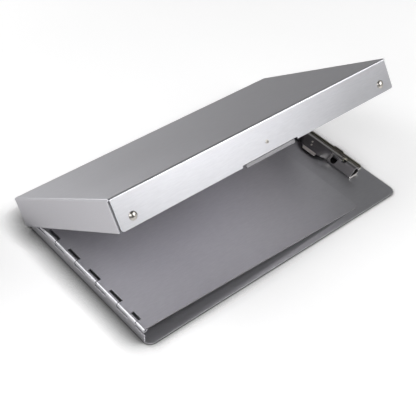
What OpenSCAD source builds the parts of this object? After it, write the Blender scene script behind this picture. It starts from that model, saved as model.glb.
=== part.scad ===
// Storage clipboard box: a board with a bent-up hinge wall, a sloping hinged
// writing plate, a sprung paper clip and a deep hinged lid with a snap latch.
// Millimetres. The origin is the centre of the board's underside.
// +X runs along the board to the clip, +Y to the lid hinge, +Z up.
// The lid is drawn open, as it rests.

/* [Board] */
// Length of the board, from the hinge wall to the clip end
board_l = 263; // [250:1:285]
// Width of the board, from its front edge to the back of the lid hinge
board_w = 154; // [146:1:170]
// Thickness of the board and lid sheet
sheet_t = 1; // [0.8:0.05:1.2]
// Radius of the board's corners
corner_r = 6.5; // [4:0.5:9]
// Outer radius where a sheet is folded
fold_r = 1.5; // [1.3:0.1:2]

/* [Hinge knuckles] */
// Diameter of both hinge pins
pin_d = 2; // [1.6:0.1:2.4]
// Radial play of a pin in its knuckles
pin_play = 0.05; // [0.03:0.01:0.08]
// Length of one whole knuckle
knuckle_l = 12.9; // [11:0.1:15]
// Gap that shows at one end of each knuckle of the writing plate
knuckle_gap = 0.5; // [0.3:0.1:0.8]
// Clearance between touching knuckle ends
knuckle_play = 0.1; // [0.05:0.05:0.2]
// Gap between a knuckle and the sheet cut away beside it
notch_gap = 0.4; // [0.3:0.05:0.6]

/* [Writing plate] */
// Height of the plate hinge above the underside of the board
hinge_h = 12.6; // [10:0.1:15]
// Distance from the ends of the hinge wall to the board's front and back edges
wall_inset = 4.9; // [4:0.1:7]
// Thickness of the writing plate
plate_t = 0.8; // [0.6:0.05:1]
// Distance from the plate's free end to the clip end of the board
plate_clear = 40; // [36:1:60]
// Distance from the plate's long edges to the board's front and back edges
plate_inset = 6.2; // [5.5:0.1:9]
// Radius of the plate's free corners
plate_r = 5; // [3:0.5:10]
// Depth of the plate's notches, from the hinge axis
plate_notch = 3.2; // [2.8:0.1:6]
// Length of the front knuckle of the plate
front_plate_knuckle_l = 9.2; // [7:0.1:11]
// Length of the front knuckle of the wall
front_wall_knuckle_l = 8.6; // [6:0.1:11]

/* [Lid] */
// Depth of the lid over its walls
lid_h = 24.2; // [20:0.1:30]
// Height of the closed lid's wall edges above the underside of the board
lid_lift = 0.7; // [0.5:0.1:1]
// Angle that the lid stands open at rest
lid_open = 36.1; // [20:0.1:60]
// Clearance between the closed lid's front wall and the board
lid_front_gap = 0.3; // [0.2:0.05:0.8]
// Clearance between the closed lid's end walls and the board
lid_end_gap = 1.15; // [0.6:0.05:1.6]
// Distance from the ends of the board to the first knuckle of the lid hinge
lid_hinge_inset = 10; // [9:0.5:16]
// Radius of the front and back walls' lower corners
lid_corner_r = 2.5; // [1:0.5:4]
// Slit between a long wall and the end wall's fold
seam_w = 0.35; // [0.2:0.05:0.5]
// Length of the folded tabs behind the long walls
tab_l = 21; // [18:1:28]
// Height of the tabs above the closed lid's wall edges
tab_lift = 4.4; // [4:0.1:6]
// Distance from the tabs to the lid's top
tab_drop = 2.5; // [2:0.5:4]

/* [Lid rivets] */
// Distance from the ends of the lid to the corner rivets
rivet_x = 13.2; // [11:0.1:16]
// Height of the corner rivets above the walls' edges
rivet_z = 7; // [6.8:0.1:9]
// Diameter of a corner rivet's head
rivet_head_d = 6.4; // [5:0.1:7]
// Height of a corner rivet's head
rivet_head_h = 1.7; // [1.2:0.1:2.2]
// Diameter of a corner rivet's shank
rivet_d = 3; // [2.4:0.1:3.4]
// Diameter of a corner rivet's closed end
rivet_tail_d = 4.8; // [4:0.1:5.5]
// Height of a corner rivet's closed end
rivet_tail_h = 0.9; // [0.6:0.1:1.2]
// Radial clearance of every rivet in its hole
rivet_play = 0.03; // [0.02:0.01:0.06]

/* [Latch] */
// Length of the latch spring
latch_l = 47.3; // [40:0.1:60]
// Thickness of the latch spring
latch_t = 0.5; // [0.4:0.05:0.6]
// Gap at each end between the latch spring and its recess
latch_end_gap = 3.3; // [2:0.1:5]
// Depth of the recess in the front wall's edge
latch_recess_h = 1.5; // [1.4:0.1:2]
// Height of the latch rivet above the front wall's edge
latch_rivet_z = 8.8; // [8:0.1:10]
// Reach of the latch lip under the board's edge
latch_reach = 0.8; // [0.6:0.1:1.2]
// Clearance between the latch lip and the board's underside
latch_gap = 0.3; // [0.2:0.05:0.4]
// Angle that the latch spring can swing out
latch_swing = 8; // [7:0.5:9]
// Diameter of the latch rivet's flush head
latch_head_d = 3; // [2.6:0.1:4]
// Diameter of the latch rivet's shank
latch_rivet_d = 1.8; // [1.5:0.1:2.2]

/* [Clip] */
// Length of the clip jaw
jaw_l = 84; // [70:1:100]
// Outer radius of the jaw's barrel
barrel_r = 3.8; // [3.7:0.1:4.4]
// Thickness of the jaw's sheet
jaw_t = 0.7; // [0.5:0.05:0.8]
// Distance from the clip end of the board to the barrel's axis
barrel_x = 12.9; // [12:0.1:16]
// Clearance between the closed jaw and the board
jaw_gap = 0.15; // [0.1:0.05:0.3]
// Distance from the barrel's axis to the middle of the jaw's lip
lip_x = 6.2; // [5.8:0.1:8]
// Radius of the jaw's lip
lip_r = 0.95; // [0.9:0.05:1.1]
// Distance between the two ears that carry the rod
ear_pitch = 49; // [44:1:56]
// Thickness of the clip base's sheet
base_t = 0.8; // [0.6:0.05:1]
// Height of the clip base's back rim
rim_h = 3; // [2:0.1:4]
// Distance from the clip base to the end of the board
rim_inset = 1.8; // [1.5:0.1:3.2]
// Length of the clip base
clip_base_l = 78; // [68:1:82]
// Diameter of the clip rod
rod_d = 2.5; // [2:0.1:2.8]
// Radial play of the rod in the ears
rod_play = 0.05; // [0.03:0.01:0.08]
// Angle that the jaw can open
jaw_open = 45; // [30:5:50]
// Gap between an ear and the jaw's slot
ear_gap = 0.4; // [0.3:0.05:0.6]

/* [Clip lever] */
// Length of the lever along the clip
lever_l = 37; // [30:1:40]
// Length of the finger lip's upper edge
tongue_l = 15.4; // [12:0.1:20]
// Reach of the finger lip in front of the barrel's axis
tongue_x = 10.9; // [10:0.1:16]
// Height of the finger lip's upper edge above the board
tongue_z = 3.6; // [3:0.1:8]
// Length of the finger lip down its slant
finger_h = 2.4; // [2:0.1:3]
// Slant of the finger lip out to the front
finger_slant = 40; // [0:1:50]
// Distance of the lever's middle from the clip's towards the lid hinge
lever_y = 2.5; // [0:0.1:4]
// Thickness of the lever's sheet
lever_t = 0.7; // [0.5:0.05:0.8]
// Clearance between the lever and the jaw
lever_gap = 0.08; // [0.05:0.01:0.12]

/* [Clip springs] */
// Curls of each clip spring
curls = 5; // [3:1:7]
// Diameter of the clip spring's wire
wire_d = 0.9; // [0.7:0.05:1]
// Gap between the curls
curl_gap = 0.5; // [0.45:0.05:0.8]
// Radial clearance between the rod and the curls
curl_play = 0.35; // [0.2:0.05:0.5]

/* [Hidden] */
$fn = 48;

// A length that reaches well past any cut face, and one that just passes it
past = 20;
skin = 0.01;

// Overlap of pieces that are joined into one, and the sides of a rivet's dome
join = 1;
dome_sides = 64;

// Knuckles of both hinges
bore_r = pin_d / 2 + pin_play;
knuckle_r = bore_r + sheet_t;

// Plate hinge: the axis, the wall's ends and the writing plate's slope
plate_axis_x = knuckle_r;
plate_axis_z = hinge_h - knuckle_r;
wall_y0 = wall_inset;
wall_y1 = board_w - wall_inset;
plate_l = board_l - plate_clear - plate_axis_x;
plate_y0 = plate_inset;
plate_y1 = board_w - plate_inset;
plate_knuckle_r = bore_r + plate_t;
plate_rest_gap = 0.1;
plate_drop = plate_axis_z - sheet_t - plate_rest_gap;
plate_slope = asin(plate_drop / norm([plate_l, bore_r])) + atan2(bore_r, plate_l);
plate_cut_y = plate_y0 + front_plate_knuckle_l;
pairs_y = plate_cut_y + front_wall_knuckle_l;
pair_l = 2 * knuckle_l;
pairs = ceil((wall_y1 - pairs_y) / pair_l);
plate_pin_inset = 1;

// Places of the plate's and the wall's knuckles along the plate hinge
plate_spans = concat([[plate_y0, plate_cut_y]],
    [for (i = [0 : pairs - 1]) [pairs_y + i * pair_l, pairs_y + i * pair_l + knuckle_l]]);
wall_spans = concat([[plate_cut_y, pairs_y]],
    [for (i = [0 : pairs - 1]) [pairs_y + i * pair_l + knuckle_l, pairs_y + (i + 1) * pair_l]]);

// Lid hinge: the axis and its knuckles, the board's first
lid_axis_y = board_w - knuckle_r;
lid_axis_z = knuckle_r;
lid_hinge_l = board_l - 2 * lid_hinge_inset;
lid_knuckles = 2 * round(lid_hinge_l / knuckle_l / 2) + 1;
lid_knuckle_l = lid_hinge_l / lid_knuckles;
board_back_y = lid_axis_y - knuckle_r - notch_gap;
knuckle_clear_z = 2 * knuckle_r + notch_gap;

// Lid outline, closed
lid_x0 = -lid_end_gap - sheet_t;
lid_x1 = board_l - lid_x0;
lid_y0 = -lid_front_gap - sheet_t;
lid_y1 = board_w;
lid_z1 = lid_lift + lid_h;
end_fold_r = 1.2;
wall_x0 = lid_x0 + end_fold_r + seam_w;
wall_x1 = lid_x1 - end_fold_r - seam_w;
wall_top = lid_z1 - fold_r;
end_y = [lid_y0 + sheet_t + end_fold_r, lid_y1 - sheet_t - end_fold_r];

// Latch, closed: the strip leans in from its rivet, steps out through the
// recess and hooks under the board
latch_x = board_l / 2;
latch_recess_l = latch_l + 2 * latch_end_gap;
latch_axis_z = lid_lift + latch_rivet_z;
latch_wall_gap = 0.25;
latch_axis_y = lid_y0 + sheet_t + latch_wall_gap + latch_t / 2;
latch_top = 3;
latch_step_z = sheet_t + latch_gap;
latch_lean_l = latch_axis_z - latch_step_z - latch_t;
latch_swing_spare = 0.5;
latch_lean = latch_lean_l * tan(latch_swing + latch_swing_spare);
latch_set_back = 0.1;
latch_face_y = lid_y0 + latch_set_back;
latch_hole_play = 0.5;
latch_hole_r = latch_rivet_d / 2 + latch_hole_play;
latch_tail_gap = 0.4;
latch_tail_d = 4;
latch_tail_h = 0.5;
latch_head_h = 0.2;

// Clip: the barrel's axis, the lip and the ears
clip_y = board_w / 2;
barrel_cx = board_l - barrel_x;
barrel_cz = sheet_t + jaw_gap + barrel_r;
lip_cx = barrel_cx - lip_x;
lip_cz = sheet_t + jaw_gap + lip_r;
ear_r = 2.4;
ear_foot_r = 1.6;
ear_foot_x = 7;
ear_foot_z = sheet_t + ear_foot_r;
base_x1 = board_l - rim_inset;
base_gap = 0.8;
base_x0 = barrel_cx + barrel_r + base_gap;
base_fold_r = 1.3;
slot_rest = [-72, 33];
slot_a0 = slot_rest[0];
slot_a1 = slot_rest[1] + jaw_open;
clip_rivet_x = (base_x0 + base_x1 - base_fold_r) / 2;
clip_rivet_pitch = 30;
clip_rivet_d = 1.6;
clip_rivet_head_d = 2.4;
clip_rivet_top_d = 1.6;
clip_rivet_head_h = 0.5;
hook_y0 = -18.3;
hook_y1 = -7.4;
hook_rise = 1.4;
rod_end = 1.6;

// Windows beside each ear: how far they lie from it, where the inner one
// begins and ends, the front edge of the outer one, their lowest heights
// from the barrel's axis and the radius of their corners
window_y = [0.9, 6.8];
inner_window_x = [-6.6, -2];
outer_window_x = -2.9;
window_low = [-2.4, 0.9];
window_r = 2.3;

// Lever: its tongue rises over the jaw and its flanks fall to the jaw's lip
lever_steps = 16;
line_steps = 5;
lever_arc = [108, 115, 122, 130, 139];
lever_back_x = 0.8;
tongue_bend = 0.5;
flank_stop = 0.9;
finger_taper = 0.6;
finger_root = 0.3;
lever_in_r = barrel_r + lever_gap;
lever_face_a = 2 * atan2(barrel_r - lip_r, lip_x);
tab_half = 7;
tab_reach = 4;
lever_rivet_d = 1.2;
lever_rivet_head_d = 1.8;
lever_rivet_head_h = 0.35;
lever_rivet_spots = [[-4.2, 3.2], [-6.8, 1.7]];

// Springs: curls round the rod, their ends straight
coil_r = rod_d / 2 + curl_play + wire_d / 2;
curl_pitch = wire_d + curl_gap;
curl_rings = 8;
wire_sides = 6;
coil_l = curls * curl_pitch;
spring_end = 1.3;
spring_place = 8;

// Puts a piece drawn from the board's front left corner into the part's frame
module on_board() {
    translate([-board_l / 2, -board_w / 2, 0]) children();
}

// Turns a piece drawn on the closed lid up to its rest angle
module on_lid() {
    on_board() translate([0, lid_axis_y, lid_axis_z]) rotate([-lid_open, 0, 0])
        translate([0, -lid_axis_y, -lid_axis_z]) children();
}

// Puts a piece drawn from the barrel's axis, halfway along the clip, on the board
module on_clip() {
    on_board() translate([barrel_cx, clip_y, barrel_cz]) children();
}

// A profile drawn across X and Z, drawn out along Y
module along_y(y0, y1) {
    translate([0, y1, 0]) rotate([90, 0, 0]) linear_extrude(y1 - y0) children();
}

// A profile drawn across Y and Z, drawn out along X
module along_x(x0, x1) {
    translate([x0, 0, 0]) rotate([90, 0, 90]) linear_extrude(x1 - x0) children();
}

// A block between two corners
module block(low, high) {
    translate(low) cube(high - low);
}

// A pin or hole along X, and one along Y
module rod_x(r, x0, x1) {
    translate([x0, 0, 0]) rotate([0, 90, 0]) cylinder(r = r, h = x1 - x0);
}

module rod_y(r, y0, y1) {
    translate([0, y1, 0]) rotate([90, 0, 0]) cylinder(r = r, h = y1 - y0);
}

// A rectangle whose corners are rounded, each by its own radius, from the
// lower left corner round to the upper left one
module rounded_box(low, high, radii) {
    places = [low, [high[0], low[1]], high, [low[0], high[1]]];
    inward = [[1, 1], [-1, 1], [-1, -1], [1, -1]];
    difference() {
        translate(low) square(high - low);
        for (i = [0 : 3]) if (radii[i] > 0) difference() {
            translate(places[i]) square(2 * radii[i], center = true);
            translate(places[i] + radii[i] * inward[i]) circle(radii[i]);
        }
    }
}

// The ring of a fold about the origin, in the lower left quarter, with the
// starts of the two straight sheets that it joins
module fold_ring(r, t, up = 0, over = 0) {
    difference() {
        intersection() {
            circle(r);
            translate([-r, -r]) square(r);
        }
        circle(r - t);
    }
    if (up > 0) translate([-r, 0]) square([t, up]);
    if (over > 0) translate([0, -r]) square([over, t]);
}

// The four points where straight edges touch two circles
function belt(c1, r1, c2, r2) =
    let (d = c2 - c1, a = atan2(d[1], d[0]), b = acos((r1 - r2) / norm(d)))
    [c1 + r1 * [cos(a + b), sin(a + b)], c2 + r2 * [cos(a + b), sin(a + b)],
     c2 + r2 * [cos(a - b), sin(a - b)], c1 + r1 * [cos(a - b), sin(a - b)]];

// The outline round two circles
module drop(c1, r1, c2, r2) {
    translate(c1) circle(r1);
    translate(c2) circle(r2);
    polygon(belt(c1, r1, c2, r2));
}

// A rivet along Z: a domed head above zero, a shank down to the closed end
module rivet(head_d, head_h, shank_d, grip, tail_d, tail_h) {
    dome_r = (head_d * head_d / 4 + head_h * head_h) / (2 * head_h);
    intersection() {
        translate([0, 0, head_h - dome_r]) sphere(dome_r, $fn = dome_sides);
        cylinder(d = head_d, h = head_h);
    }
    translate([0, 0, -grip]) cylinder(d = shank_d, h = grip + head_h / 2);
    translate([0, 0, -grip - tail_h]) cylinder(d = tail_d, h = tail_h);
}

// Board with its hinge wall and both rows of rolled knuckles

module wall_upright(top) {
    translate([fold_r, fold_r]) fold_ring(fold_r, sheet_t, top - fold_r, join);
}

module board_sheet() {
    difference() {
        linear_extrude(sheet_t)
            rounded_box([0, 0], [board_l, board_back_y], [corner_r, corner_r, corner_r, corner_r]);
        block([-past, wall_y0, -past], [fold_r, wall_y1, past]);
        for (side = [-1, 1])
            translate([clip_rivet_x, clip_y + side * clip_rivet_pitch, -past / 2])
                cylinder(d = clip_rivet_d + 2 * rivet_play, h = past);
    }
}

module hinge_wall() {
    along_y(wall_y0, wall_y1) wall_upright(plate_axis_z - knuckle_r - notch_gap);
    for (s = wall_spans) {
        y0 = s[0] + knuckle_gap / 2;
        y1 = min(s[1] - knuckle_play / 2, wall_y1);
        if (y1 - y0 > sheet_t) {
            along_y(y0, y1) difference() {
                union() {
                    wall_upright(plate_axis_z);
                    translate([plate_axis_x, plate_axis_z]) circle(knuckle_r);
                }
                translate([plate_axis_x, plate_axis_z]) circle(bore_r);
            }
        }
    }
}

module board_knuckles() {
    for (i = [0 : 2 : lid_knuckles - 1]) {
        x0 = lid_hinge_inset + i * lid_knuckle_l + knuckle_play;
        along_x(x0, x0 + lid_knuckle_l - 2 * knuckle_play) difference() {
            union() {
                translate([board_back_y - join, 0]) square([lid_axis_y - board_back_y + join, sheet_t]);
                translate([lid_axis_y, lid_axis_z]) circle(knuckle_r);
            }
            translate([lid_axis_y, lid_axis_z]) circle(bore_r);
        }
    }
}

module board() {
    color([0.60, 0.60, 0.62]) on_board() {
        board_sheet();
        hinge_wall();
        board_knuckles();
    }
}

module plate_hinge_pin() {
    color([0.70, 0.70, 0.72]) on_board() translate([plate_axis_x, 0, plate_axis_z])
        rod_y(pin_d / 2, plate_y0 + plate_pin_inset, wall_y1 - plate_pin_inset);
}

module lid_hinge_pin() {
    color([0.70, 0.70, 0.72]) on_board() translate([0, lid_axis_y, lid_axis_z])
        rod_x(pin_d / 2, lid_hinge_inset + knuckle_play, board_l - lid_hinge_inset - knuckle_play);
}

// Writing plate, drawn level from its hinge axis and then sloped

module plate_sheet() {
    difference() {
        translate([0, 0, bore_r]) linear_extrude(plate_t)
            rounded_box([0, plate_y0], [plate_l, plate_y1], [0, plate_r, plate_r, 0]);
        for (s = wall_spans) {
            y1 = s[1] > wall_y1 - knuckle_gap ? board_w : s[1];
            block([-past, s[0] - knuckle_gap / 2, 0], [plate_notch, y1, past]);
        }
    }
}

module plate_knuckles() {
    for (s = plate_spans) {
        y1 = min(s[1], plate_y1) - knuckle_gap / 2;
        if (y1 - s[0] > sheet_t) {
            along_y(s[0] + knuckle_play / 2, y1) difference() {
                circle(plate_knuckle_r);
                circle(bore_r);
            }
        }
    }
}

module writing_plate() {
    color([0.58, 0.58, 0.60]) on_board() translate([plate_axis_x, 0, plate_axis_z])
        rotate([0, plate_slope, 0]) {
            difference() {
                plate_sheet();
                rod_y(bore_r, -past, board_w + past);
            }
            plate_knuckles();
        }
}

// Lid, folded from one sheet: top, long walls, end walls and corner tabs

module lid_top() {
    inner = [[lid_x0 + fold_r, lid_y0 + fold_r], [lid_x1 - fold_r, lid_y1 - fold_r]];
    block([inner[0][0], inner[0][1], lid_z1 - sheet_t], [inner[1][0], inner[1][1], lid_z1]);
    for (side = [0, 1]) {
        for (run = [[inner[0][0], inner[1][0], 0], [wall_x0, wall_x1, join]])
            along_x(run[0], run[1]) translate([inner[side][1], wall_top])
                mirror([side, 0]) mirror([0, 1]) fold_ring(fold_r, sheet_t, run[2], join);
        for (run = [[inner[0][1], inner[1][1], 0], [end_y[0], end_y[1], join]])
            along_y(run[0], run[1]) translate([inner[side][0], wall_top])
                mirror([side, 0]) mirror([0, 1]) fold_ring(fold_r, sheet_t, run[2], join);
    }
    for (i = [0, 1]) for (j = [0, 1]) translate([inner[i][0], inner[j][1], wall_top])
        mirror([1 - i, 0, 0]) mirror([0, 1 - j, 0]) rotate_extrude(angle = 90)
            mirror([1, 0]) mirror([0, 1]) fold_ring(fold_r, sheet_t);
}

module long_wall(y0, low_z) {
    along_y(y0, y0 + sheet_t)
        rounded_box([wall_x0, low_z], [wall_x1, wall_top], [lid_corner_r, lid_corner_r, 0, 0]);
}

module end_wall(side) {
    x0 = side == 0 ? lid_x0 : lid_x1 - sheet_t;
    fold_x = side == 0 ? lid_x0 + end_fold_r : lid_x1 - end_fold_r;
    tab_x = side == 0 ? [fold_x, lid_x0 + tab_l] : [lid_x1 - tab_l, fold_x];
    tab_z = [lid_lift + tab_lift, lid_z1 - sheet_t - tab_drop];
    block([x0, end_y[0], lid_lift], [x0 + sheet_t, end_y[1], wall_top]);
    for (j = [0, 1]) {
        for (run = [[lid_lift, wall_top, join, 0], [tab_z[0], tab_z[1], 0, join]])
            translate([fold_x, end_y[j], run[0]]) mirror([side, 0, 0]) mirror([0, j, 0])
                linear_extrude(run[1] - run[0]) fold_ring(end_fold_r, sheet_t, run[2], run[3]);
        tab_y = j == 0 ? lid_y0 + sheet_t : lid_y1 - 2 * sheet_t;
        along_y(tab_y, tab_y + sheet_t)
            rounded_box([tab_x[0], tab_z[0]], [tab_x[1], tab_z[1]],
                        side == 0 ? [0, lid_corner_r, lid_corner_r, 0] : [lid_corner_r, 0, 0, lid_corner_r]);
    }
}

module lid_knuckle_cuts() {
    for (i = [0 : 2 : lid_knuckles - 1]) {
        x0 = lid_hinge_inset + i * lid_knuckle_l;
        block([x0 - knuckle_play, lid_y1 - sheet_t - skin, -past],
              [x0 + lid_knuckle_l + knuckle_play, lid_y1 + past, knuckle_clear_z]);
    }
}

module lid_knuckles_row() {
    for (i = [1 : 2 : lid_knuckles - 2]) {
        x0 = lid_hinge_inset + i * lid_knuckle_l + knuckle_play;
        along_x(x0, x0 + lid_knuckle_l - 2 * knuckle_play) difference() {
            union() {
                translate([lid_y1 - sheet_t, lid_axis_z]) square([sheet_t, knuckle_r + join]);
                translate([lid_axis_y, lid_axis_z]) circle(knuckle_r);
            }
            translate([lid_axis_y, lid_axis_z]) circle(bore_r);
        }
    }
}

module at_lid_rivets() {
    for (x = [lid_x0 + rivet_x, lid_x1 - rivet_x]) {
        translate([x, lid_y0, lid_lift + rivet_z]) rotate([90, 0, 0]) children();
        translate([x, lid_y1, lid_lift + rivet_z]) rotate([-90, 0, 0]) children();
    }
}

module latch_rivet_hole(r) {
    translate([latch_x, 0, latch_axis_z]) rod_y(r, lid_y0 - sheet_t, lid_y0 + 2 * sheet_t);
}

module lid() {
    color([0.68, 0.68, 0.71]) on_lid() {
        lid_top();
        difference() {
            union() {
                long_wall(lid_y0, lid_lift);
                long_wall(lid_y1 - sheet_t, lid_axis_z);
                end_wall(0);
                end_wall(1);
            }
            lid_knuckle_cuts();
            at_lid_rivets() translate([0, 0, -past / 2]) cylinder(d = rivet_d + 2 * rivet_play, h = past);
            latch_rivet_hole(latch_rivet_d / 2 + rivet_play);
            block([latch_x - latch_recess_l / 2, lid_y0 - sheet_t, -past],
                  [latch_x + latch_recess_l / 2, lid_y0 + sheet_t + skin, lid_lift + latch_recess_h]);
        }
        lid_knuckles_row();
    }
}

module lid_corner_rivets() {
    color([0.80, 0.78, 0.74]) on_lid() at_lid_rivets()
        rivet(rivet_head_d, rivet_head_h, rivet_d, 2 * sheet_t, rivet_tail_d, rivet_tail_h);
}

// Latch: a sprung strip inside the front wall

module latch_profile() {
    y_in = latch_axis_y - latch_t / 2;
    y_low = y_in + latch_lean;
    z_top = latch_axis_z + latch_top;
    z_step = latch_step_z;
    lip_z = -latch_gap - latch_t;
    polygon([
        [y_in, z_top], [y_in, latch_axis_z], [y_low, z_step + latch_t],
        [latch_face_y, z_step + latch_t], [latch_face_y, lip_z], [latch_reach, lip_z],
        [latch_reach, lip_z + latch_t], [latch_face_y + latch_t, lip_z + latch_t],
        [latch_face_y + latch_t, z_step], [y_low + latch_t, z_step],
        [y_low + latch_t, z_step + latch_t], [y_in + latch_t, latch_axis_z], [y_in + latch_t, z_top]
    ]);
}

module latch_spring() {
    color([0.78, 0.78, 0.80]) on_lid() difference() {
        along_x(latch_x - latch_l / 2, latch_x + latch_l / 2) latch_profile();
        translate([latch_x, 0, latch_axis_z]) rod_y(latch_hole_r, -past, past);
    }
}

module latch_rivet() {
    tail_y = latch_axis_y + latch_t / 2 + latch_tail_gap;
    color([0.80, 0.78, 0.74]) on_lid() translate([latch_x, lid_y0, latch_axis_z]) rotate([90, 0, 0])
        rivet(latch_head_d, latch_head_h, latch_rivet_d, tail_y - lid_y0, latch_tail_d, latch_tail_h);
}

// Clip base: a strip with a back rim, and two ears that carry the rod

module ear_profile() {
    foot = [ear_foot_x, ear_foot_z - barrel_cz];
    difference() {
        drop([0, 0], ear_r, foot, ear_foot_r);
        circle(rod_d / 2 + rod_play);
    }
}

module rim_profile() {
    inner = base_x1 - base_fold_r;
    translate([base_x0, sheet_t]) square([inner - base_x0, base_t]);
    translate([inner, sheet_t + base_fold_r]) mirror([1, 0]) fold_ring(base_fold_r, base_t);
    translate([base_x1 - base_t, sheet_t + base_fold_r]) square([base_t, rim_h - base_fold_r]);
}

module clip_base() {
    color([0.36, 0.35, 0.33]) {
        on_board() difference() {
            union() {
                along_y(clip_y - clip_base_l / 2, clip_y + clip_base_l / 2) rim_profile();
                block([base_x1 - base_t, clip_y + hook_y0, sheet_t + rim_h - join],
                      [base_x1, clip_y + hook_y1, sheet_t + rim_h + hook_rise]);
            }
            for (side = [-1, 1])
                translate([clip_rivet_x, clip_y + side * clip_rivet_pitch, 0])
                    cylinder(d = clip_rivet_d + 2 * rivet_play, h = past);
        }
        on_clip() for (side = [-1, 1])
            along_y(side * ear_pitch / 2 - base_t / 2, side * ear_pitch / 2 + base_t / 2) ear_profile();
    }
}

module clip_base_rivets() {
    color([0.30, 0.30, 0.30]) on_board() for (side = [-1, 1])
        translate([clip_rivet_x, clip_y + side * clip_rivet_pitch, sheet_t + base_t]) {
            translate([0, 0, -sheet_t - base_t])
                cylinder(d = clip_rivet_d, h = sheet_t + base_t + clip_rivet_head_h);
            cylinder(d1 = clip_rivet_head_d, d2 = clip_rivet_top_d, h = clip_rivet_head_h);
        }
}

module clip_rod() {
    color([0.55, 0.55, 0.56]) on_clip()
        rod_y(rod_d / 2, -ear_pitch / 2 - rod_end, ear_pitch / 2 + rod_end);
}

// Clip jaw: a rolled barrel with a flat lip, drawn from the barrel's axis

module jaw_profile() {
    lip = [lip_cx - barrel_cx, lip_cz - barrel_cz];
    difference() {
        drop([0, 0], barrel_r, lip, lip_r);
        drop([0, 0], barrel_r - jaw_t, lip, lip_r - jaw_t);
    }
}

// The part of a ring between two angles, out to where the slots reach
module sector(a0, a1) {
    step = (a1 - a0) / 6;
    polygon(concat([[0, 0]], [for (i = [0 : 6]) 2 * barrel_r * [cos(a0 + i * step), sin(a0 + i * step)]]));
}

module jaw_windows() {
    for (side = [-1, 1]) {
        y = side * ear_pitch / 2;
        along_y(y - base_t / 2 - ear_gap, y + base_t / 2 + ear_gap) sector(slot_a0, slot_a1);
        translate([0, y, 0]) mirror([0, side < 0 ? 0 : 1, 0]) {
            translate([0, 0, window_low[0]]) linear_extrude(past)
                rounded_box([inner_window_x[0], window_y[0]], [inner_window_x[1], window_y[1]],
                            [window_r, 0, 0, window_r]);
            translate([0, 0, window_low[1]]) linear_extrude(past)
                rounded_box([outer_window_x, -window_y[1]], [past, -window_y[0]], [window_r, 0, 0, window_r]);
        }
    }
}

module clip_jaw() {
    color([0.27, 0.26, 0.25]) on_clip() {
        difference() {
            along_y(-jaw_l / 2, jaw_l / 2) jaw_profile();
            jaw_windows();
        }
        difference() {
            along_y(lever_y - tab_half, lever_y + tab_half) jaw_tab_profile();
            lever_rivet_holes();
        }
    }
}

// Points of the lever's underside, from the barrel's top to the front edge:
// over the tongue, and down the flank at the lever's ends
tongue_low = tongue_z + sheet_t - barrel_cz;
tongue_fall = tongue_low - lever_in_r;
function tongue_height(s) = lever_in_r + tongue_fall * ((1 - tongue_bend) * s + tongue_bend * s * s);
tongue_line = [for (i = [0 : line_steps]) let (s = i / line_steps)
    [-lever_back_x - (tongue_x - lever_back_x) * s, tongue_height(s)]];
flank_line = concat([for (a = lever_arc) lever_in_r * [cos(a), sin(a)]],
    [lever_in_r * [cos(90 + lever_face_a), sin(90 + lever_face_a)]
     - (lip_x - flank_stop) * [cos(lever_face_a), sin(lever_face_a)]]);

function smooth(s) = s * s * (3 - 2 * s);
function flank_share(y) = smooth(min(1, max(0, (abs(y) - tongue_l / 2) / ((lever_l - tongue_l) / 2))));
function lever_line(y) = [for (i = [0 : line_steps])
    tongue_line[i] * (1 - flank_share(y)) + flank_line[i] * flank_share(y)];
function out_of(line, i) =
    let (d = line[max(0, i - 1)] - line[min(line_steps, i + 1)]) [-d[1], d[0]] / norm(d);

// The tab of the jaw that the lever is riveted to, just under the tongue
module jaw_tab_profile() {
    reach = [for (i = [0 : tab_reach]) tongue_line[i]];
    upper = [for (p = reach) p - [0, lever_gap]];
    lower = [for (i = [len(reach) - 1 : -1 : 0]) reach[i] - [0, lever_gap + jaw_t]];
    polygon(concat(upper, lower));
}

module at_lever_rivets() {
    run = tongue_x - lever_back_x;
    for (spot = lever_rivet_spots) {
        s = (-spot[0] - lever_back_x) / run;
        translate([spot[0], lever_y + spot[1], tongue_height(s)])
            rotate([0, atan(tongue_fall * (1 - tongue_bend + 2 * tongue_bend * s) / run), 0]) children();
    }
}

module lever_rivet_holes() {
    at_lever_rivets() cylinder(d = lever_rivet_d + 2 * rivet_play, h = 2 * join, center = true, $fn = 24);
}

module lever_shell() {
    ys = [for (j = [0 : lever_steps]) -lever_l / 2 + lever_l * j / lever_steps];
    lines = [for (y = ys) lever_line(y)];
    m = line_steps + 1;
    under = [for (j = [0 : lever_steps]) for (i = [0 : line_steps]) [lines[j][i][0], ys[j], lines[j][i][1]]];
    over = [for (j = [0 : lever_steps]) for (i = [0 : line_steps])
        let (p = lines[j][i] + lever_t * out_of(lines[j], i)) [p[0], ys[j], p[1]]];
    n = len(under);
    low_faces = [for (j = [0 : lever_steps - 1]) for (i = [0 : line_steps - 1])
        let (k = m * j + i) [k, k + m, k + m + 1, k + 1]];
    high_faces = [for (f = low_faces) [n + f[3], n + f[2], n + f[1], n + f[0]]];
    end_faces = [for (i = [0 : line_steps - 1]) let (k = m * lever_steps + i)
        each [[i, i + 1, n + i + 1, n + i], [k + 1, k, n + k, n + k + 1]]];
    edge_faces = [for (j = [0 : lever_steps - 1]) let (k = m * j, q = k + line_steps)
        each [[k + m, k, n + k, n + k + m], [q, q + m, n + q + m, n + q]]];
    polyhedron(concat(under, over), concat(low_faces, high_faces, end_faces, edge_faces));
}

module finger_lip() {
    edge = tongue_line[line_steps];
    top = edge[1] + lever_t;
    half = tongue_l / 2;
    translate([edge[0] + finger_root, 0, top - finger_root]) rotate([0, finger_slant, 0])
        along_x(-lever_t / 2, lever_t / 2)
            polygon([[-half, 0], [-half + finger_taper, -finger_h], [half - finger_taper, -finger_h], [half, 0]]);
}

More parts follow.
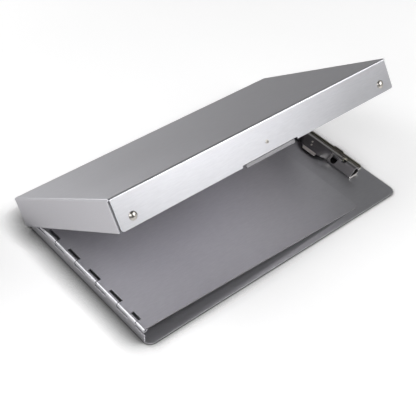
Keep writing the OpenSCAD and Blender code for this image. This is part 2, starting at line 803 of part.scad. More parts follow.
module clip_lever() {
    color([0.22, 0.21, 0.21]) on_clip() {
        difference() {
            translate([0, lever_y, 0]) lever_shell();
            lever_rivet_holes();
        }
        translate([0, lever_y, 0]) finger_lip();
    }
}

module clip_lever_rivets() {
    color([0.62, 0.60, 0.56]) on_clip() at_lever_rivets() translate([0, 0, lever_t])
        rivet(lever_rivet_head_d, lever_rivet_head_h, lever_rivet_d,
              lever_t + lever_gap + jaw_t, lever_rivet_head_d, lever_rivet_head_h);
}

// Clip springs: one unbroken wire each, curled round the rod

function coil_point(s) =
    let (a = 360 * curls * s) [coil_r * sin(a), coil_l * s, -coil_r * cos(a)];
coil_route = concat(
    [[-spring_end, 0, -coil_r], [-wire_d, 0, -coil_r]],
    [for (i = [0 : curls * curl_rings]) coil_point(i / (curls * curl_rings))],
    [[wire_d, coil_l, -coil_r], [spring_end, coil_l, -coil_r]]);

// Least gap between curls one turn apart, for a check on the drawing
coil_rings = curls * curl_rings;
coil_gap = min([for (i = [0 : coil_rings - curl_rings])
    norm(coil_point((i + curl_rings) / coil_rings) - coil_point(i / coil_rings))]) - wire_d;
echo(least_gap_between_curls = coil_gap);

module wire(route) {
    last = len(route) - 1;
    dirs = [for (i = [0 : last]) let (d = route[min(last, i + 1)] - route[max(0, i - 1)]) d / norm(d)];
    rings = [for (i = [0 : last]) let (
        side = [0, 1, 0] - dirs[i][1] * dirs[i], u = side / norm(side), v = cross(dirs[i], u))
        each [for (k = [0 : wire_sides - 1]) let (a = 360 * k / wire_sides)
            route[i] + wire_d / 2 * (cos(a) * u + sin(a) * v)]];
    sides = [for (i = [0 : last - 1]) for (k = [0 : wire_sides - 1])
        let (a = i * wire_sides + k, b = i * wire_sides + (k + 1) % wire_sides)
        each [[a, a + wire_sides, b], [b, a + wire_sides, b + wire_sides]]];
    caps = [[for (k = [0 : wire_sides - 1]) k],
            [for (k = [wire_sides - 1 : -1 : 0]) last * wire_sides + k]];
    polyhedron(rings, concat(sides, caps));
}

module clip_spring(side) {
    color([0.62, 0.62, 0.64]) on_clip() mirror([0, side < 0 ? 1 : 0, 0])
        translate([0, spring_place, 0]) wire(coil_route);
}

module clip_spring_front() {
    clip_spring(-1);
}

module clip_spring_back() {
    clip_spring(1);
}

board();
plate_hinge_pin();
lid_hinge_pin();
writing_plate();
lid();
lid_corner_rivets();
latch_spring();
latch_rivet();
clip_base();
clip_base_rivets();
clip_jaw();
clip_rod();
clip_spring_front();
clip_spring_back();
clip_lever();
clip_lever_rivets();
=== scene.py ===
"""Storage clipboard box: the looks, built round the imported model.

The scene is in metres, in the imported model's frame. The pieces' sizes below are in
millimetres and degrees: pieces are drawn in board places first, with x from the hinge
wall, y from the front edge and z from the underside, and then moved to the frame.
"""
import math

import bmesh
import bpy
from mathutils import Matrix, Vector


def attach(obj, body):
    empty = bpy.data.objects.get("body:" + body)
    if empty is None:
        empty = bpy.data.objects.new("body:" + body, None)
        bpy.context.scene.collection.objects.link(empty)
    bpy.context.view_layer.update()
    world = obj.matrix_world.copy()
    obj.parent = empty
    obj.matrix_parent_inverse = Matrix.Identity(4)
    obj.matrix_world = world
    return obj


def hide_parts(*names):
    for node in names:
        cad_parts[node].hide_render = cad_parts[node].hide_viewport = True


MM = 0.001

# Board, hinges and writing plate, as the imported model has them
BOARD_L, BOARD_W, SHEET, CORNER, FOLD = 263.0, 154.0, 1.0, 6.5, 1.5
BORE = 1.05
PLATE_AXIS = (2.05, 10.55)
WALL_Y = (4.9, 149.1)
PLATE_T, PLATE_L, PLATE_CORNER, PLATE_Y = 0.8, 220.95, 5.0, (6.2, 147.8)
PLATE_SLOPE = 2.7235
NOTCH = 3.2
WALL_TOP = 8.1

# Plate hinge: the short knuckles at its near end, then pairs of a plate and a wall knuckle
SHORT_SPLIT, PAIRS_Y0, PAIR_PITCH, PAIRS = 15.4, 24.0, 25.8, 5
WALL_SPANS = [(SHORT_SPLIT, PAIRS_Y0)] + [
    (PAIRS_Y0 + PAIR_PITCH * i + PAIR_PITCH / 2, PAIRS_Y0 + PAIR_PITCH * (i + 1))
    for i in range(PAIRS)]
PLATE_SPANS = [(PLATE_Y[0], SHORT_SPLIT)] + [
    (PAIRS_Y0 + PAIR_PITCH * i, PAIRS_Y0 + PAIR_PITCH * i + PAIR_PITCH / 2)
    for i in range(PAIRS)]

# Lid hinge: its axis as y and z, the board's free edge, and its even row of knuckles
LID_AXIS = (151.95, 2.05)
BOARD_BACK = 149.5
LID_HINGE_X0, LID_KNUCKLE_L, LID_KNUCKLES = 10.0, 243.0 / 19, 19

# Gaps beside the knuckles, in the lid hinge and on the two sides of each one in the plate hinge
KNUCKLE_PLAY, TIGHT_SIDE, LOOSE_SIDE = 0.1, 0.05, 0.25

# Lid, closed
LID_X, LID_Y, LID_Z = (-2.15, 265.15), (-1.3, 154.0), (0.7, 24.9)
LID_OPEN = 36.1
END_FOLD, LID_CORNER = 1.2, 2.5
TAB_L, TAB_LIFT, TAB_DROP = 21.0, 4.4, 2.5
KNUCKLE_CLEAR = 4.5
RECESS_L, RECESS_H = 53.9, 1.5
RIVET_X, RIVET_Z = 13.2, 7.0
RIVET_HEAD, RIVET_BRIM, RIVET_SHANK_D = (6.4, 1.7), 0.25, 3.0
RIVET_TAIL, TAIL_ROUND = (4.8, 0.9), 0.45

# Latch, closed: the strip's height over its rivet, its lean, its step and its lip
LATCH_X, LATCH_L, LATCH_T, LATCH_AXIS_Z = 131.5, 47.3, 0.5, 9.5
LATCH_TOP, LATCH_IN, LATCH_LOW, LATCH_FACE = 3.0, -0.05, 1.101, -1.2
LATCH_STEP_Z, LATCH_LIP_Z, LATCH_REACH = 1.8, -0.8, 0.8
LATCH_CORNER = 1.5
LATCH_HEAD_D, LATCH_SHANK_D, LATCH_TAIL_D, LATCH_TAIL_Y, LATCH_TAIL_H = 3.0, 1.8, 4.0, 0.85, 0.5
LATCH_HEAD_H, LATCH_HEAD_ROUND = 0.2, 0.12
DISH_RIM, DISH_DEPTH, DISH_TAPER = 0.35, 0.3, 0.55

# Clip: the barrel's axis and radius, the lip's, and the edges of the sheet
CLIP_Y = 77.0
BARREL_X, BARREL_Z, BARREL_R = 250.1, 4.95, 3.8
LIP_X, LIP_Z, LIP_R = 243.9, 2.1, 0.95
FACE_ANGLE = 139.37
JAW_Y, JAW_T = (35.0, 119.0), 0.7
EAR_PITCH, EAR_T, EAR_R, EAR_GAP = 49.0, 0.8, 2.4, 0.4
EAR_FOOT = (257.1, 2.6, 1.6)
SLOT_ANGLES = (-72, 78)
WINDOW_Y, WINDOW_INNER, WINDOW_OUTER = (0.9, 6.8), (-6.6, -2), (-2.9, 20)
WINDOW_LOW, WINDOW_TOP, WINDOW_R = (-2.4, 0.9), 20, 2.3
BASE_X, BASE_Y, BASE_T, BASE_FOLD = (254.7, 261.2), (38.0, 116.0), 0.8, 1.3
RIM_TOP, RIM_CORNER = 4.0, 1.0
HOOK_Y, HOOK_TOP, HOOK_CORNER = (58.7, 69.6), 5.4, 0.6
TONGUE_BACK, TONGUE_X, TONGUE_L, TONGUE_LOW, TONGUE_BEND = 0.8, 10.9, 15.4, -0.35, 0.5
LEVER_Y, LEVER_L, LEVER_T, LEVER_IN_R = 79.5, 37.0, 0.7, 3.88
LEVER_ARC, FLANK_STOP = (108, 115, 122, 130, 139), 0.9
LEVER_LINES, LEVER_ROWS = 15, 48
FINGER_ROOT, FINGER_STEP, FINGER_TAPER = 0.42, (-1.39, 0, -1.66), 0.6
TAB_HALF, TAB_CORNER, TAB_BENDS, LEVER_GAP = 7.0, 1.5, 5, 0.08
SPOT_HEAD, SPOT_BRIM, SPOT_SHANK_D = (1.8, 0.35), 0.1, 1.2
LEVER_SPOTS = ((-4.2, 3.2), (-6.8, 1.7))
CURL_R, WIRE_R, CURLS, CURL_PITCH = 2.05, 0.45, 5, 1.4
SPRING_PLACE, SPRING_END = 8.0, 1.3

# Bends: the turn of a right-angled fold and of a rolled knuckle, and how many flats stand for
# each bend, rounded corner and turned shape
FOLD_ANGLE, FOLD_STEPS = 90, 6
ROLL_ANGLE, ROLL_STEPS = 300, 20
END_FOLD_STEPS, BARREL_STEPS, LIP_STEPS, SLOT_STEPS, RIM_STEPS = 5, 30, 10, 8, 5
CORNER_STEPS, WINDOW_STEPS, LATCH_CORNER_STEPS, TAB_CORNER_STEPS, HOOK_STEPS = 10, 8, 6, 5, 4
TAIL_STEPS, PUNCH_STEPS = 4, 3
DOME_SIDES, DOME_RINGS, SHANK_SIDES, EAR_SIDES, WIRE_SIDES, CURL_STEPS = 40, 60, 32, 48, 12, 28

# Widths of the rounding along sheared edges, and of the band beside the clip's ends that takes the
# light finish, worn plating and painted highlight
EDGE, BOARD_EDGE, THIN_EDGE, CLIP_EDGE = 0.12, 0.2, 0.08, 0.1
JAW_BAND, LEVER_BAND = 0.2, 0.3

# Angles above which an edge counts as sheared and is rounded
SHARP, LEVER_SHARP, EAR_SHARP = 50, 55, 60

# Angles below which neighbouring faces are shaded as one curve, and how far flat faces
# outweigh curved ones there, in percent
SMOOTH, RIVET_SMOOTH, SPRING_SMOOTH, FLAT_WEIGHT = 35, 30, 40, 100

# Places nearer than the slack, in millimetres, count as one, and corners nearer than the
# merges, in metres, are joined
SLACK = 0.02
CUT_MERGE, SEAM_MERGE, TRIM_MERGE = 0.000001, 0.000002, 0.00002

# Openings with no more edges than this are closed again after the jaw's edges are rounded
MAX_HOLE = 12

# The photograph's viewpoint, found from the edges and corners it shows
CAMERA_PLACE, CAMERA_LENS, CAMERA_SENSOR = (-0.3776, -0.3849, 0.5098), 79.12, 36
CAMERA_RIGHT, CAMERA_UP = (0.757, -0.6512, 0.0536), (0.4199, 0.5477, 0.7236)
CAMERA_BACK = (-0.5005, -0.5253, 0.6881)

# Softboxes: degrees round from the front toward the clip end, degrees up and metres away,
# then size and watts
SOFTBOXES = [
    ("back_left", (240, 45, 1.2), 0.6, 5.7),
    ("front_left", (300, 45, 1.2), 0.6, 3.6),
    ("front_right", (35, 45, 1.2), 0.6, 4.1),
    ("right", (57, 45, 1.2), 0.6, 3.4),
    ("back", (180, 14, 1.2), 0.6, 4.4),
    ("left", (270, 14, 1.2), 0.6, 1.7),
    ("back_right", (120, 14, 1.2), 0.6, 0.9),
    ("wall_glow", (25, 28, 0.8), 0.35, 0.54),
]
LIGHT_COLOUR = (0.98, 1.0, 1.0)
WORLD_COLOUR, WORLD_STRENGTH = (0.95, 0.96, 1.0), 0.02

# Floor, in metres: the glow grows from the middle outwards, and the contact shadow reaches out
# from what stands on it
PALE, BLACK = (0.96, 0.94, 0.94), (0, 0, 0)
FLOOR_Z, FLOOR_SIZE, FLOOR_ROUGHNESS = -0.0004, 8, 0.9
GLOW_REACH, FLOOR_GLOW = (0.3, 1.0), (0.17, 0.32)
CONTACT_REACH, CONTACT_DEPTH, CONTACT_RAYS = 0.02, 3.0, 8

# Brushed finish: the axis the grain runs along, streaks per metre along and across it, clouds
# per metre, and how far the clouds move the roughness
ALONG_BOARD, ACROSS_BOARD, UPRIGHT = 0, 1, 2
GRAIN_ALONG, GRAIN_ACROSS, GRAIN_DETAIL = 150, 1200, 3.0
CLOUD_SCALE, CLOUD_DETAIL = 14.0, 2.0
SMOOTHER, ROUGHER = 0.04, 0.05

# A mix node's two colours and its result, by number, because it has more than one of each name
MIX_LOW, MIX_HIGH, MIX_COLOUR = 6, 7, 2


def clear_selection():
    bpy.ops.object.select_all(action="DESELECT")


def start_edit(piece):
    """Opens a piece for editing, with nothing selected."""
    clear_selection()
    piece.select_set(True)
    bpy.context.view_layer.objects.active = piece
    bpy.ops.object.mode_set(mode="EDIT")
    bpy.ops.mesh.select_all(action="DESELECT")


def end_edit():
    bpy.ops.object.mode_set(mode="OBJECT")


def pick(kind, test):
    """Selects the vertices, edges or faces whose middle, in millimetres, passes a test."""
    bpy.ops.mesh.select_mode(type=kind)
    bpy.ops.mesh.select_all(action="DESELECT")
    mesh = bmesh.from_edit_mesh(bpy.context.object.data)
    for item in {"VERT": mesh.verts, "EDGE": mesh.edges, "FACE": mesh.faces}[kind]:
        corners = [item] if kind == "VERT" else list(item.verts)
        middle = sum((v.co for v in corners), Vector()) / len(corners) / MM
        if test(middle, item):
            item.select_set(True)
    mesh.select_flush_mode()
    bmesh.update_edit_mesh(bpy.context.object.data)


def near(a, b, slack=SLACK):
    return abs(a - b) < slack


def within(value, low, high, slack=SLACK):
    return low - slack < value < high + slack


def cut(test, place, normal):
    """Cuts the faces that pass a test along a plane."""
    pick("FACE", test)
    bpy.ops.mesh.bisect(plane_co=Vector(place) * MM, plane_no=normal, threshold=CUT_MERGE)


def remove_faces(test):
    pick("FACE", test)
    bpy.ops.mesh.delete(type="FACE")


def pull_edges(test, step):
    """Extrudes the edges that pass a test by a step in millimetres."""
    pick("EDGE", test)
    bpy.ops.mesh.extrude_edges_move(TRANSFORM_OT_translate={"value": Vector(step) * MM})


def bend_selected(angle, centre, axis, steps):
    """Carries the selected edges round an axis, as a bend or a rolled knuckle does.

    The spin tool turns left-handed, so its angle is the negative of the one asked for.
    """
    centre = Vector(centre) * MM
    bpy.ops.mesh.spin(steps=steps, angle=-math.radians(angle), center=centre, axis=axis)


def bend_edges(test, angle, centre, axis, steps):
    pick("EDGE", test)
    bend_selected(angle, centre, axis, steps)


def add_sheet(name, x, y, z):
    """A flat sheet between two corners, in millimetres, facing up."""
    clear_selection()
    middle = ((x[0] + x[1]) / 2 * MM, (y[0] + y[1]) / 2 * MM, z * MM)
    bpy.ops.mesh.primitive_plane_add(size=1, location=middle)
    piece = bpy.context.object
    piece.name = name
    piece.scale = ((x[1] - x[0]) * MM, (y[1] - y[0]) * MM, 1)
    bpy.ops.object.transform_apply(location=True, rotation=True, scale=True)
    return piece


def add_block(name, low, high):
    clear_selection()
    middle = [(low[i] + high[i]) / 2 * MM for i in range(3)]
    bpy.ops.mesh.primitive_cube_add(size=1, location=middle)
    piece = bpy.context.object
    piece.name = name
    piece.scale = [(high[i] - low[i]) * MM for i in range(3)]
    bpy.ops.object.transform_apply(location=True, rotation=True, scale=True)
    return piece


def round_corners(test, radius, steps=8):
    pick("VERT", test)
    bpy.ops.mesh.bevel(offset=radius * MM, segments=steps, affect="VERTICES")


def turn_out(test, normal):
    """Makes all faces agree, with the face that passes a test looking along a normal."""
    bpy.ops.mesh.select_mode(type="FACE")
    bpy.ops.mesh.select_all(action="SELECT")
    bpy.ops.mesh.remove_doubles(threshold=SEAM_MERGE)
    bpy.ops.mesh.normals_make_consistent(inside=False)
    pick("FACE", test)
    mesh = bmesh.from_edit_mesh(bpy.context.object.data)
    chosen = [face for face in mesh.faces if face.select]
    if chosen[0].normal.dot(Vector(normal)) < 0:
        bpy.ops.mesh.select_all(action="SELECT")
        bpy.ops.mesh.flip_normals()


def apply_modifier(piece, kind, name, **values):
    clear_selection()
    piece.select_set(True)
    bpy.context.view_layer.objects.active = piece
    modifier = piece.modifiers.new(name, kind)
    for key, value in values.items():
        setattr(modifier, key, value)
    bpy.ops.object.modifier_apply(modifier=modifier.name)


def thicken(piece, thickness):
    """Gives a folded sheet its thickness, behind the faces drawn."""
    apply_modifier(piece, "SOLIDIFY", "sheet", thickness=thickness * MM, offset=-1,
                   use_even_offset=True)


def ease_edges(piece, width=EDGE, angle=SHARP, steps=2):
    """Rounds the sheared edges a little and shades the bends smoothly.

    The rounding takes the second finish of a piece that already has two.
    """
    apply_modifier(piece, "BEVEL", "eased", width=width * MM, segments=steps, limit_method="ANGLE",
                   angle_limit=math.radians(angle), use_clamp_overlap=True,
                   material=1 if len(piece.data.materials) > 1 else -1)
    shade(piece)


def coat_faces(piece, finish, test):
    """Gives the faces that pass a test another of the piece's finishes, by number."""
    start_edit(piece)
    pick("FACE", test)
    piece.active_material_index = finish
    bpy.ops.object.material_slot_assign()
    end_edit()


def coat(piece, *finishes):
    """Gives a piece its finishes. It is covered in the first; coat_faces puts the others on."""
    piece.data.materials.clear()
    for finish in finishes:
        piece.data.materials.append(finish)


def shade(piece, angle=SMOOTH):
    clear_selection()
    piece.select_set(True)
    bpy.context.view_layer.objects.active = piece
    bpy.ops.object.shade_smooth_by_angle(angle=math.radians(angle))
    apply_modifier(piece, "WEIGHTED_NORMAL", "flat_faces", keep_sharp=True, weight=FLAT_WEIGHT)


def cut_away(piece, cutter):
    apply_modifier(piece, "BOOLEAN", "cut_away", operation="DIFFERENCE", object=cutter,
                   solver="EXACT")
    bpy.data.objects.remove(cutter)


def join_pieces(pieces, name):
    clear_selection()
    for piece in pieces:
        piece.select_set(True)
    bpy.context.view_layer.objects.active = pieces[0]
    bpy.ops.object.join()
    pieces[0].name = name
    return pieces[0]


def copy_piece(piece, name):
    twin = piece.copy()
    twin.data = piece.data.copy()
    twin.name = name
    bpy.context.scene.collection.objects.link(twin)
    return twin


def settle(piece, move):
    """Gives a piece its place and turn in its mesh, with its object left at the origin."""
    clear_selection()
    piece.select_set(True)
    bpy.context.view_layer.objects.active = piece
    piece.matrix_world = move @ piece.matrix_world
    bpy.ops.object.transform_apply(location=True, rotation=True, scale=True)


def to_board():
    """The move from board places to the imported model's frame."""
    return Matrix.Translation(Vector((-BOARD_L / 2, -BOARD_W / 2, 0)) * MM)


def to_open_lid():
    """The move that also turns the closed lid and its pieces up about the hinge."""
    axis = Vector((0, LID_AXIS[0], LID_AXIS[1])) * MM
    return (to_board() @ Matrix.Translation(axis)
            @ Matrix.Rotation(math.radians(-LID_OPEN), 4, "X") @ Matrix.Translation(-axis))


def finish_piece(piece, body, slot, *nodes):
    """Rides a piece on its body and hides the nodes that it stands for; the slot is not used."""
    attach(piece, body)
    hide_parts(*nodes)


def lid_span(i):
    """Where a knuckle of the lid hinge starts and ends along x, by its number."""
    x = LID_HINGE_X0 + i * LID_KNUCKLE_L
    return x + KNUCKLE_PLAY, x + LID_KNUCKLE_L - KNUCKLE_PLAY


def in_spans(value, spans):
    return any(low < value < high for low, high in spans)


def on_edge(value, ends):
    return near(value, ends[0]) or near(value, ends[1])


def model_board(finish):
    """Flat board with its bent-up hinge wall and both rows of rolled knuckles."""
    board = add_sheet("board_sheet", (0, BOARD_L), (0, BOARD_BACK), 0)
    coat(board, finish)
    start_edit(board)
    round_corners(lambda p, v: True, CORNER, CORNER_STEPS)
    for y in WALL_Y:
        cut(lambda p, f: True, (0, y, 0), (0, 1, 0))
    cut(lambda p, f: True, (FOLD, 0, 0), (1, 0, 0))
    remove_faces(lambda p, f: p.x < FOLD and within(p.y, *WALL_Y, slack=-0.1))
    bend_edges(lambda p, e: near(p.x, FOLD) and within(p.y, *WALL_Y, slack=-0.1),
               FOLD_ANGLE, (FOLD, 0, FOLD), (0, 1, 0), FOLD_STEPS)
    rise = (0, 0, (WALL_TOP - FOLD) * MM)
    bpy.ops.mesh.extrude_edges_move(TRANSFORM_OT_translate={"value": rise})
    spans = [(low + LOOSE_SIDE, min(high - TIGHT_SIDE, WALL_Y[1])) for low, high in WALL_SPANS]
    for low, high in spans:
        for y in (low, high):
            cut(lambda p, f: near(p.x, 0) and p.z > FOLD, (0, y, 0), (0, 1, 0))
    pull_edges(lambda p, e: near(p.z, WALL_TOP) and in_spans(p.y, spans),
               (0, 0, PLATE_AXIS[1] - WALL_TOP))
    bend_selected(ROLL_ANGLE, (PLATE_AXIS[0], 0, PLATE_AXIS[1]), (0, 1, 0), ROLL_STEPS)
    cut(lambda p, f: near(p.z, 0), (0, BOARD_BACK - 1, 0), (0, 1, 0))
    spans = [lid_span(i) for i in range(0, LID_KNUCKLES, 2)]
    for low, high in spans:
        for x in (low, high):
            cut(lambda p, f: near(p.z, 0) and p.y > BOARD_BACK - 1, (x, 0, 0), (1, 0, 0))
    pull_edges(lambda p, e: near(p.y, BOARD_BACK) and near(p.z, 0) and in_spans(p.x, spans),
               (0, LID_AXIS[0] - BOARD_BACK, 0))
    bend_selected(ROLL_ANGLE, (0, LID_AXIS[0], LID_AXIS[1]), (1, 0, 0), ROLL_STEPS)
    turn_out(lambda p, f: near(p.z, 0) and p.x > BOARD_L / 4 and p.y < BOARD_BACK - 1, (0, 0, -1))
    end_edit()
    thicken(board, SHEET)
    ease_edges(board, BOARD_EDGE, steps=3)
    settle(board, to_board())
    return board


def model_writing_plate(finish, painted_shade):
    """Sloping plate, rolled round its hinge pin between the notches."""
    plate = add_sheet("plate_sheet", (0, PLATE_L), PLATE_Y, BORE + PLATE_T)
    coat(plate, finish, painted_shade)
    start_edit(plate)
    round_corners(lambda p, v: p.x > PLATE_L / 2, PLATE_CORNER, CORNER_STEPS)
    cut(lambda p, f: True, (NOTCH, 0, 0), (1, 0, 0))
    spans = [(low + TIGHT_SIDE, min(high - LOOSE_SIDE, PLATE_Y[1])) for low, high in PLATE_SPANS]
    for low, high in spans:
        for y in (low, high):
            cut(lambda p, f: p.x < NOTCH, (0, y, 0), (0, 1, 0))
    remove_faces(lambda p, f: p.x < NOTCH and not in_spans(p.y, spans))
    bend_edges(lambda p, e: near(p.x, 0), -ROLL_ANGLE, (0, 0, 0), (0, 1, 0), ROLL_STEPS)
    turn_out(lambda p, f: p.x > PLATE_L / 4, (0, 0, 1))
    end_edit()
    thicken(plate, PLATE_T)
    ease_edges(plate, THIN_EDGE)
    # The plate's cut edges take the second, darker finish: painted shade.
    coat_faces(plate, 1, lambda p, f: p.x > NOTCH / 2 and near(p.z, BORE + PLATE_T / 2, 0.1)
               and abs(f.normal.z) < 0.3)
    slope = Matrix.Rotation(math.radians(PLATE_SLOPE), 4, "Y")
    axis = Matrix.Translation(Vector((PLATE_AXIS[0], 0, PLATE_AXIS[1])) * MM)
    settle(plate, to_board() @ axis @ slope)
    return plate


def fold_lid_end(side):
    """Folds one end wall round behind the long walls, as tabs."""
    x = LID_X[side]
    sign = 1 if side == 0 else -1
    for j, inner in ((0, LID_Y[0] + SHEET), (1, LID_Y[1] - SHEET)):
        turn = 1 if j == 0 else -1
        y = inner + turn * END_FOLD
        cut(lambda p, f: near(p.x, x), (0, y, 0), (0, 1, 0))
        remove_faces(lambda p, f: near(p.x, x) and turn * (y - p.y) > 0)
        bend_edges(lambda p, e: near(p.x, x) and near(p.y, y), FOLD_ANGLE * turn * sign,
                   (x + sign * END_FOLD, y, 0), (0, 0, 1), END_FOLD_STEPS)
        for z in (LID_Z[0] + TAB_LIFT, LID_Z[1] - SHEET - TAB_DROP):
            cut(lambda p, f: within(p.x, min(x, x + sign * END_FOLD), max(x, x + sign * END_FOLD))
                and turn * (y - p.y) > -0.001 and abs(p.y - y) < END_FOLD + 0.05
                and p.z < LID_Z[1] - FOLD, (0, 0, z), (0, 0, 1))
        pull_edges(lambda p, e: near(p.x, x + sign * END_FOLD) and near(p.y, inner)
                   and within(p.z, LID_Z[0] + TAB_LIFT, LID_Z[1] - SHEET - TAB_DROP, slack=-0.1),
                   (sign * (TAB_L - END_FOLD), 0, 0))
        round_corners(lambda p, v: near(p.x, x + sign * TAB_L) and near(p.y, inner), LID_CORNER)


def model_lid(finish):
    """Deep lid folded from one sheet, closed, and then turned up about its hinge."""
    middle = BOARD_L / 2
    lid = add_block("lid_sheet", (LID_X[0], LID_Y[0], LID_Z[0]), (LID_X[1], LID_Y[1], LID_Z[1]))
    coat(lid, finish)
    start_edit(lid)
    remove_faces(lambda p, f: near(p.z, LID_Z[0]))
    pick("EDGE", lambda p, e: near(p.z, LID_Z[1]) or within(p.z, LID_Z[0] + 1, LID_Z[1] - 1))
    bpy.ops.mesh.bevel(offset=FOLD * MM, segments=FOLD_STEPS, affect="EDGES")
    wall_top = LID_Z[1] - FOLD
    remove_faces(lambda p, f: p.z < wall_top - 1 and not on_edge(p.x, LID_X)
                 and not on_edge(p.y, LID_Y))
    for side in (0, 1):
        fold_lid_end(side)
    pick("VERT", lambda p, v: near(p.y, LID_Y[1]) and near(p.z, LID_Z[0]))
    bpy.ops.transform.translate(value=(0, 0, (LID_AXIS[1] - LID_Z[0]) * MM))
    round_corners(lambda p, v: (near(p.y, LID_Y[0]) and near(p.z, LID_Z[0]))
                  or (near(p.y, LID_Y[1]) and near(p.z, LID_AXIS[1])), LID_CORNER)
    recess_top = LID_Z[0] + RECESS_H
    for x in (middle - RECESS_L / 2, middle + RECESS_L / 2):
        cut(lambda p, f: near(p.y, LID_Y[0]), (x, 0, 0), (1, 0, 0))
    cut(lambda p, f: near(p.y, LID_Y[0]) and abs(p.x - middle) < RECESS_L / 4,
        (0, 0, recess_top), (0, 0, 1))
    remove_faces(lambda p, f: near(p.y, LID_Y[0]) and abs(p.x - middle) < RECESS_L / 4
                 and p.z < recess_top)
    cut(lambda p, f: near(p.y, LID_Y[1]), (0, 0, KNUCKLE_CLEAR), (0, 0, 1))
    spans = [lid_span(i) for i in range(1, LID_KNUCKLES - 1, 2)]
    ends = [(LID_X[0], LID_HINGE_X0 - KNUCKLE_PLAY),
            (BOARD_L - LID_HINGE_X0 + KNUCKLE_PLAY, LID_X[1])]
    for low, high in spans + ends:
        for x in (low, high):
            cut(lambda p, f: near(p.y, LID_Y[1]) and p.z < KNUCKLE_CLEAR, (x, 0, 0), (1, 0, 0))
    remove_faces(lambda p, f: near(p.y, LID_Y[1]) and p.z < KNUCKLE_CLEAR
                 and not in_spans(p.x, spans + ends))
    bend_edges(lambda p, e: near(p.y, LID_Y[1]) and near(p.z, LID_AXIS[1]) and in_spans(p.x, spans),
               -ROLL_ANGLE, (0, LID_AXIS[0], LID_AXIS[1]), (1, 0, 0), ROLL_STEPS)
    turn_out(lambda p, f: near(p.z, LID_Z[1]), (0, 0, 1))
    end_edit()
    thicken(lid, SHEET)
    ease_edges(lid)
    settle(lid, to_open_lid())
    return lid


def model_dome_rivet(name, head, brim, shank_d, grip, tail):
    """A rivet along Z: a domed head on a thin brim above zero, its closed end below the sheets.

    The head and the tail are each a diameter and a height.
    """
    head_d, head_h = head
    dome_h = head_h - brim
    dome_r = (head_d ** 2 / 4 + dome_h ** 2) / (2 * dome_h)
    clear_selection()
    bpy.ops.mesh.primitive_uv_sphere_add(
        segments=DOME_SIDES, ring_count=DOME_RINGS, radius=dome_r * MM,
        location=(0, 0, (head_h - dome_r) * MM))
    dome = bpy.context.object
    dome.name = name
    bpy.ops.object.transform_apply(location=True)
    start_edit(dome)
    bpy.ops.mesh.select_all(action="SELECT")
    bpy.ops.mesh.bisect(plane_co=(0, 0, brim * MM), plane_no=(0, 0, 1), clear_inner=True,
                        threshold=CUT_MERGE)
    pick("EDGE", lambda p, e: near(p.z, brim) and e.is_boundary)
    bpy.ops.mesh.extrude_edges_move(TRANSFORM_OT_translate={"value": (0, 0, -brim * MM)})
    bpy.ops.mesh.edge_face_add()
    end_edit()
    parts = [dome]
    for bottom, top, diameter in ((-grip, head_h / 2, shank_d), (-grip - tail[1], -grip, tail[0])):
        clear_selection()
        bpy.ops.mesh.primitive_cylinder_add(
            vertices=SHANK_SIDES, radius=diameter / 2 * MM, depth=(top - bottom) * MM,
            location=(0, 0, (top + bottom) / 2 * MM))
        part = bpy.context.object
        bpy.ops.object.transform_apply(location=True)
        parts.append(part)
    start_edit(parts[2])
    pick("EDGE", lambda p, e: near(p.z, -grip - tail[1]))
    bpy.ops.mesh.bevel(offset=tail[1] * TAIL_ROUND * MM, segments=TAIL_STEPS, affect="EDGES")
    end_edit()
    rivet = join_pieces(parts, name)
    shade(rivet, RIVET_SMOOTH)
    return rivet


def model_corner_rivets(finish):
    """The lid's four domed rivets, modelled once and copied round the corners."""
    first = model_dome_rivet("corner_rivets", RIVET_HEAD, RIVET_BRIM, RIVET_SHANK_D,
                             2 * SHEET, RIVET_TAIL)
    z = LID_Z[0] + RIVET_Z
    places = [(x, y, turn) for x in (LID_X[0] + RIVET_X, LID_X[1] - RIVET_X)
              for y, turn in ((LID_Y[0], 90), (LID_Y[1], -90))]
    rivets = [first] + [copy_piece(first, f"corner_rivet_{i}") for i in range(1, 4)]
    for rivet, (x, y, turn) in zip(rivets, places):
        place = Matrix.Translation(Vector((x, y, z)) * MM)
        settle(rivet, place @ Matrix.Rotation(math.radians(turn), 4, "X"))
    joined = join_pieces(rivets, "corner_rivets")
    coat(joined, finish)
    settle(joined, to_open_lid())
    return joined


def model_latch(finish, shadowed):
    """Sprung strip: down behind the wall, out through the recess and in under the board."""
    latch = add_sheet("latch_strip", (LATCH_X - LATCH_L / 2, LATCH_X + LATCH_L / 2),
                      (LATCH_FACE, LATCH_LOW), LATCH_STEP_Z)
    start_edit(latch)
    pull_edges(lambda p, e: near(p.y, LATCH_LOW),
               (0, LATCH_IN - LATCH_LOW, LATCH_AXIS_Z - LATCH_STEP_Z))
    bpy.ops.mesh.extrude_edges_move(TRANSFORM_OT_translate={"value": (0, 0, LATCH_TOP * MM)})
    pull_edges(lambda p, e: near(p.y, LATCH_FACE), (0, 0, LATCH_LIP_Z - LATCH_STEP_Z))
    reach = (0, (LATCH_REACH - LATCH_FACE) * MM, 0)
    bpy.ops.mesh.extrude_edges_move(TRANSFORM_OT_translate={"value": reach})
    round_corners(lambda p, v: near(p.z, LATCH_AXIS_Z + LATCH_TOP), LATCH_CORNER,
                  LATCH_CORNER_STEPS)
    turn_out(lambda p, f: near(p.y, LATCH_FACE), (0, -1, 0))
    end_edit()
    thicken(latch, LATCH_T)
    ease_edges(latch, THIN_EDGE)
    coat(latch, finish, shadowed)
    # All of the strip but its lip under the board takes the second, darker finish: painted shade.
    coat_faces(latch, 1, lambda p, f: p.z > 0.1)
    settle(latch, to_open_lid())
    return latch


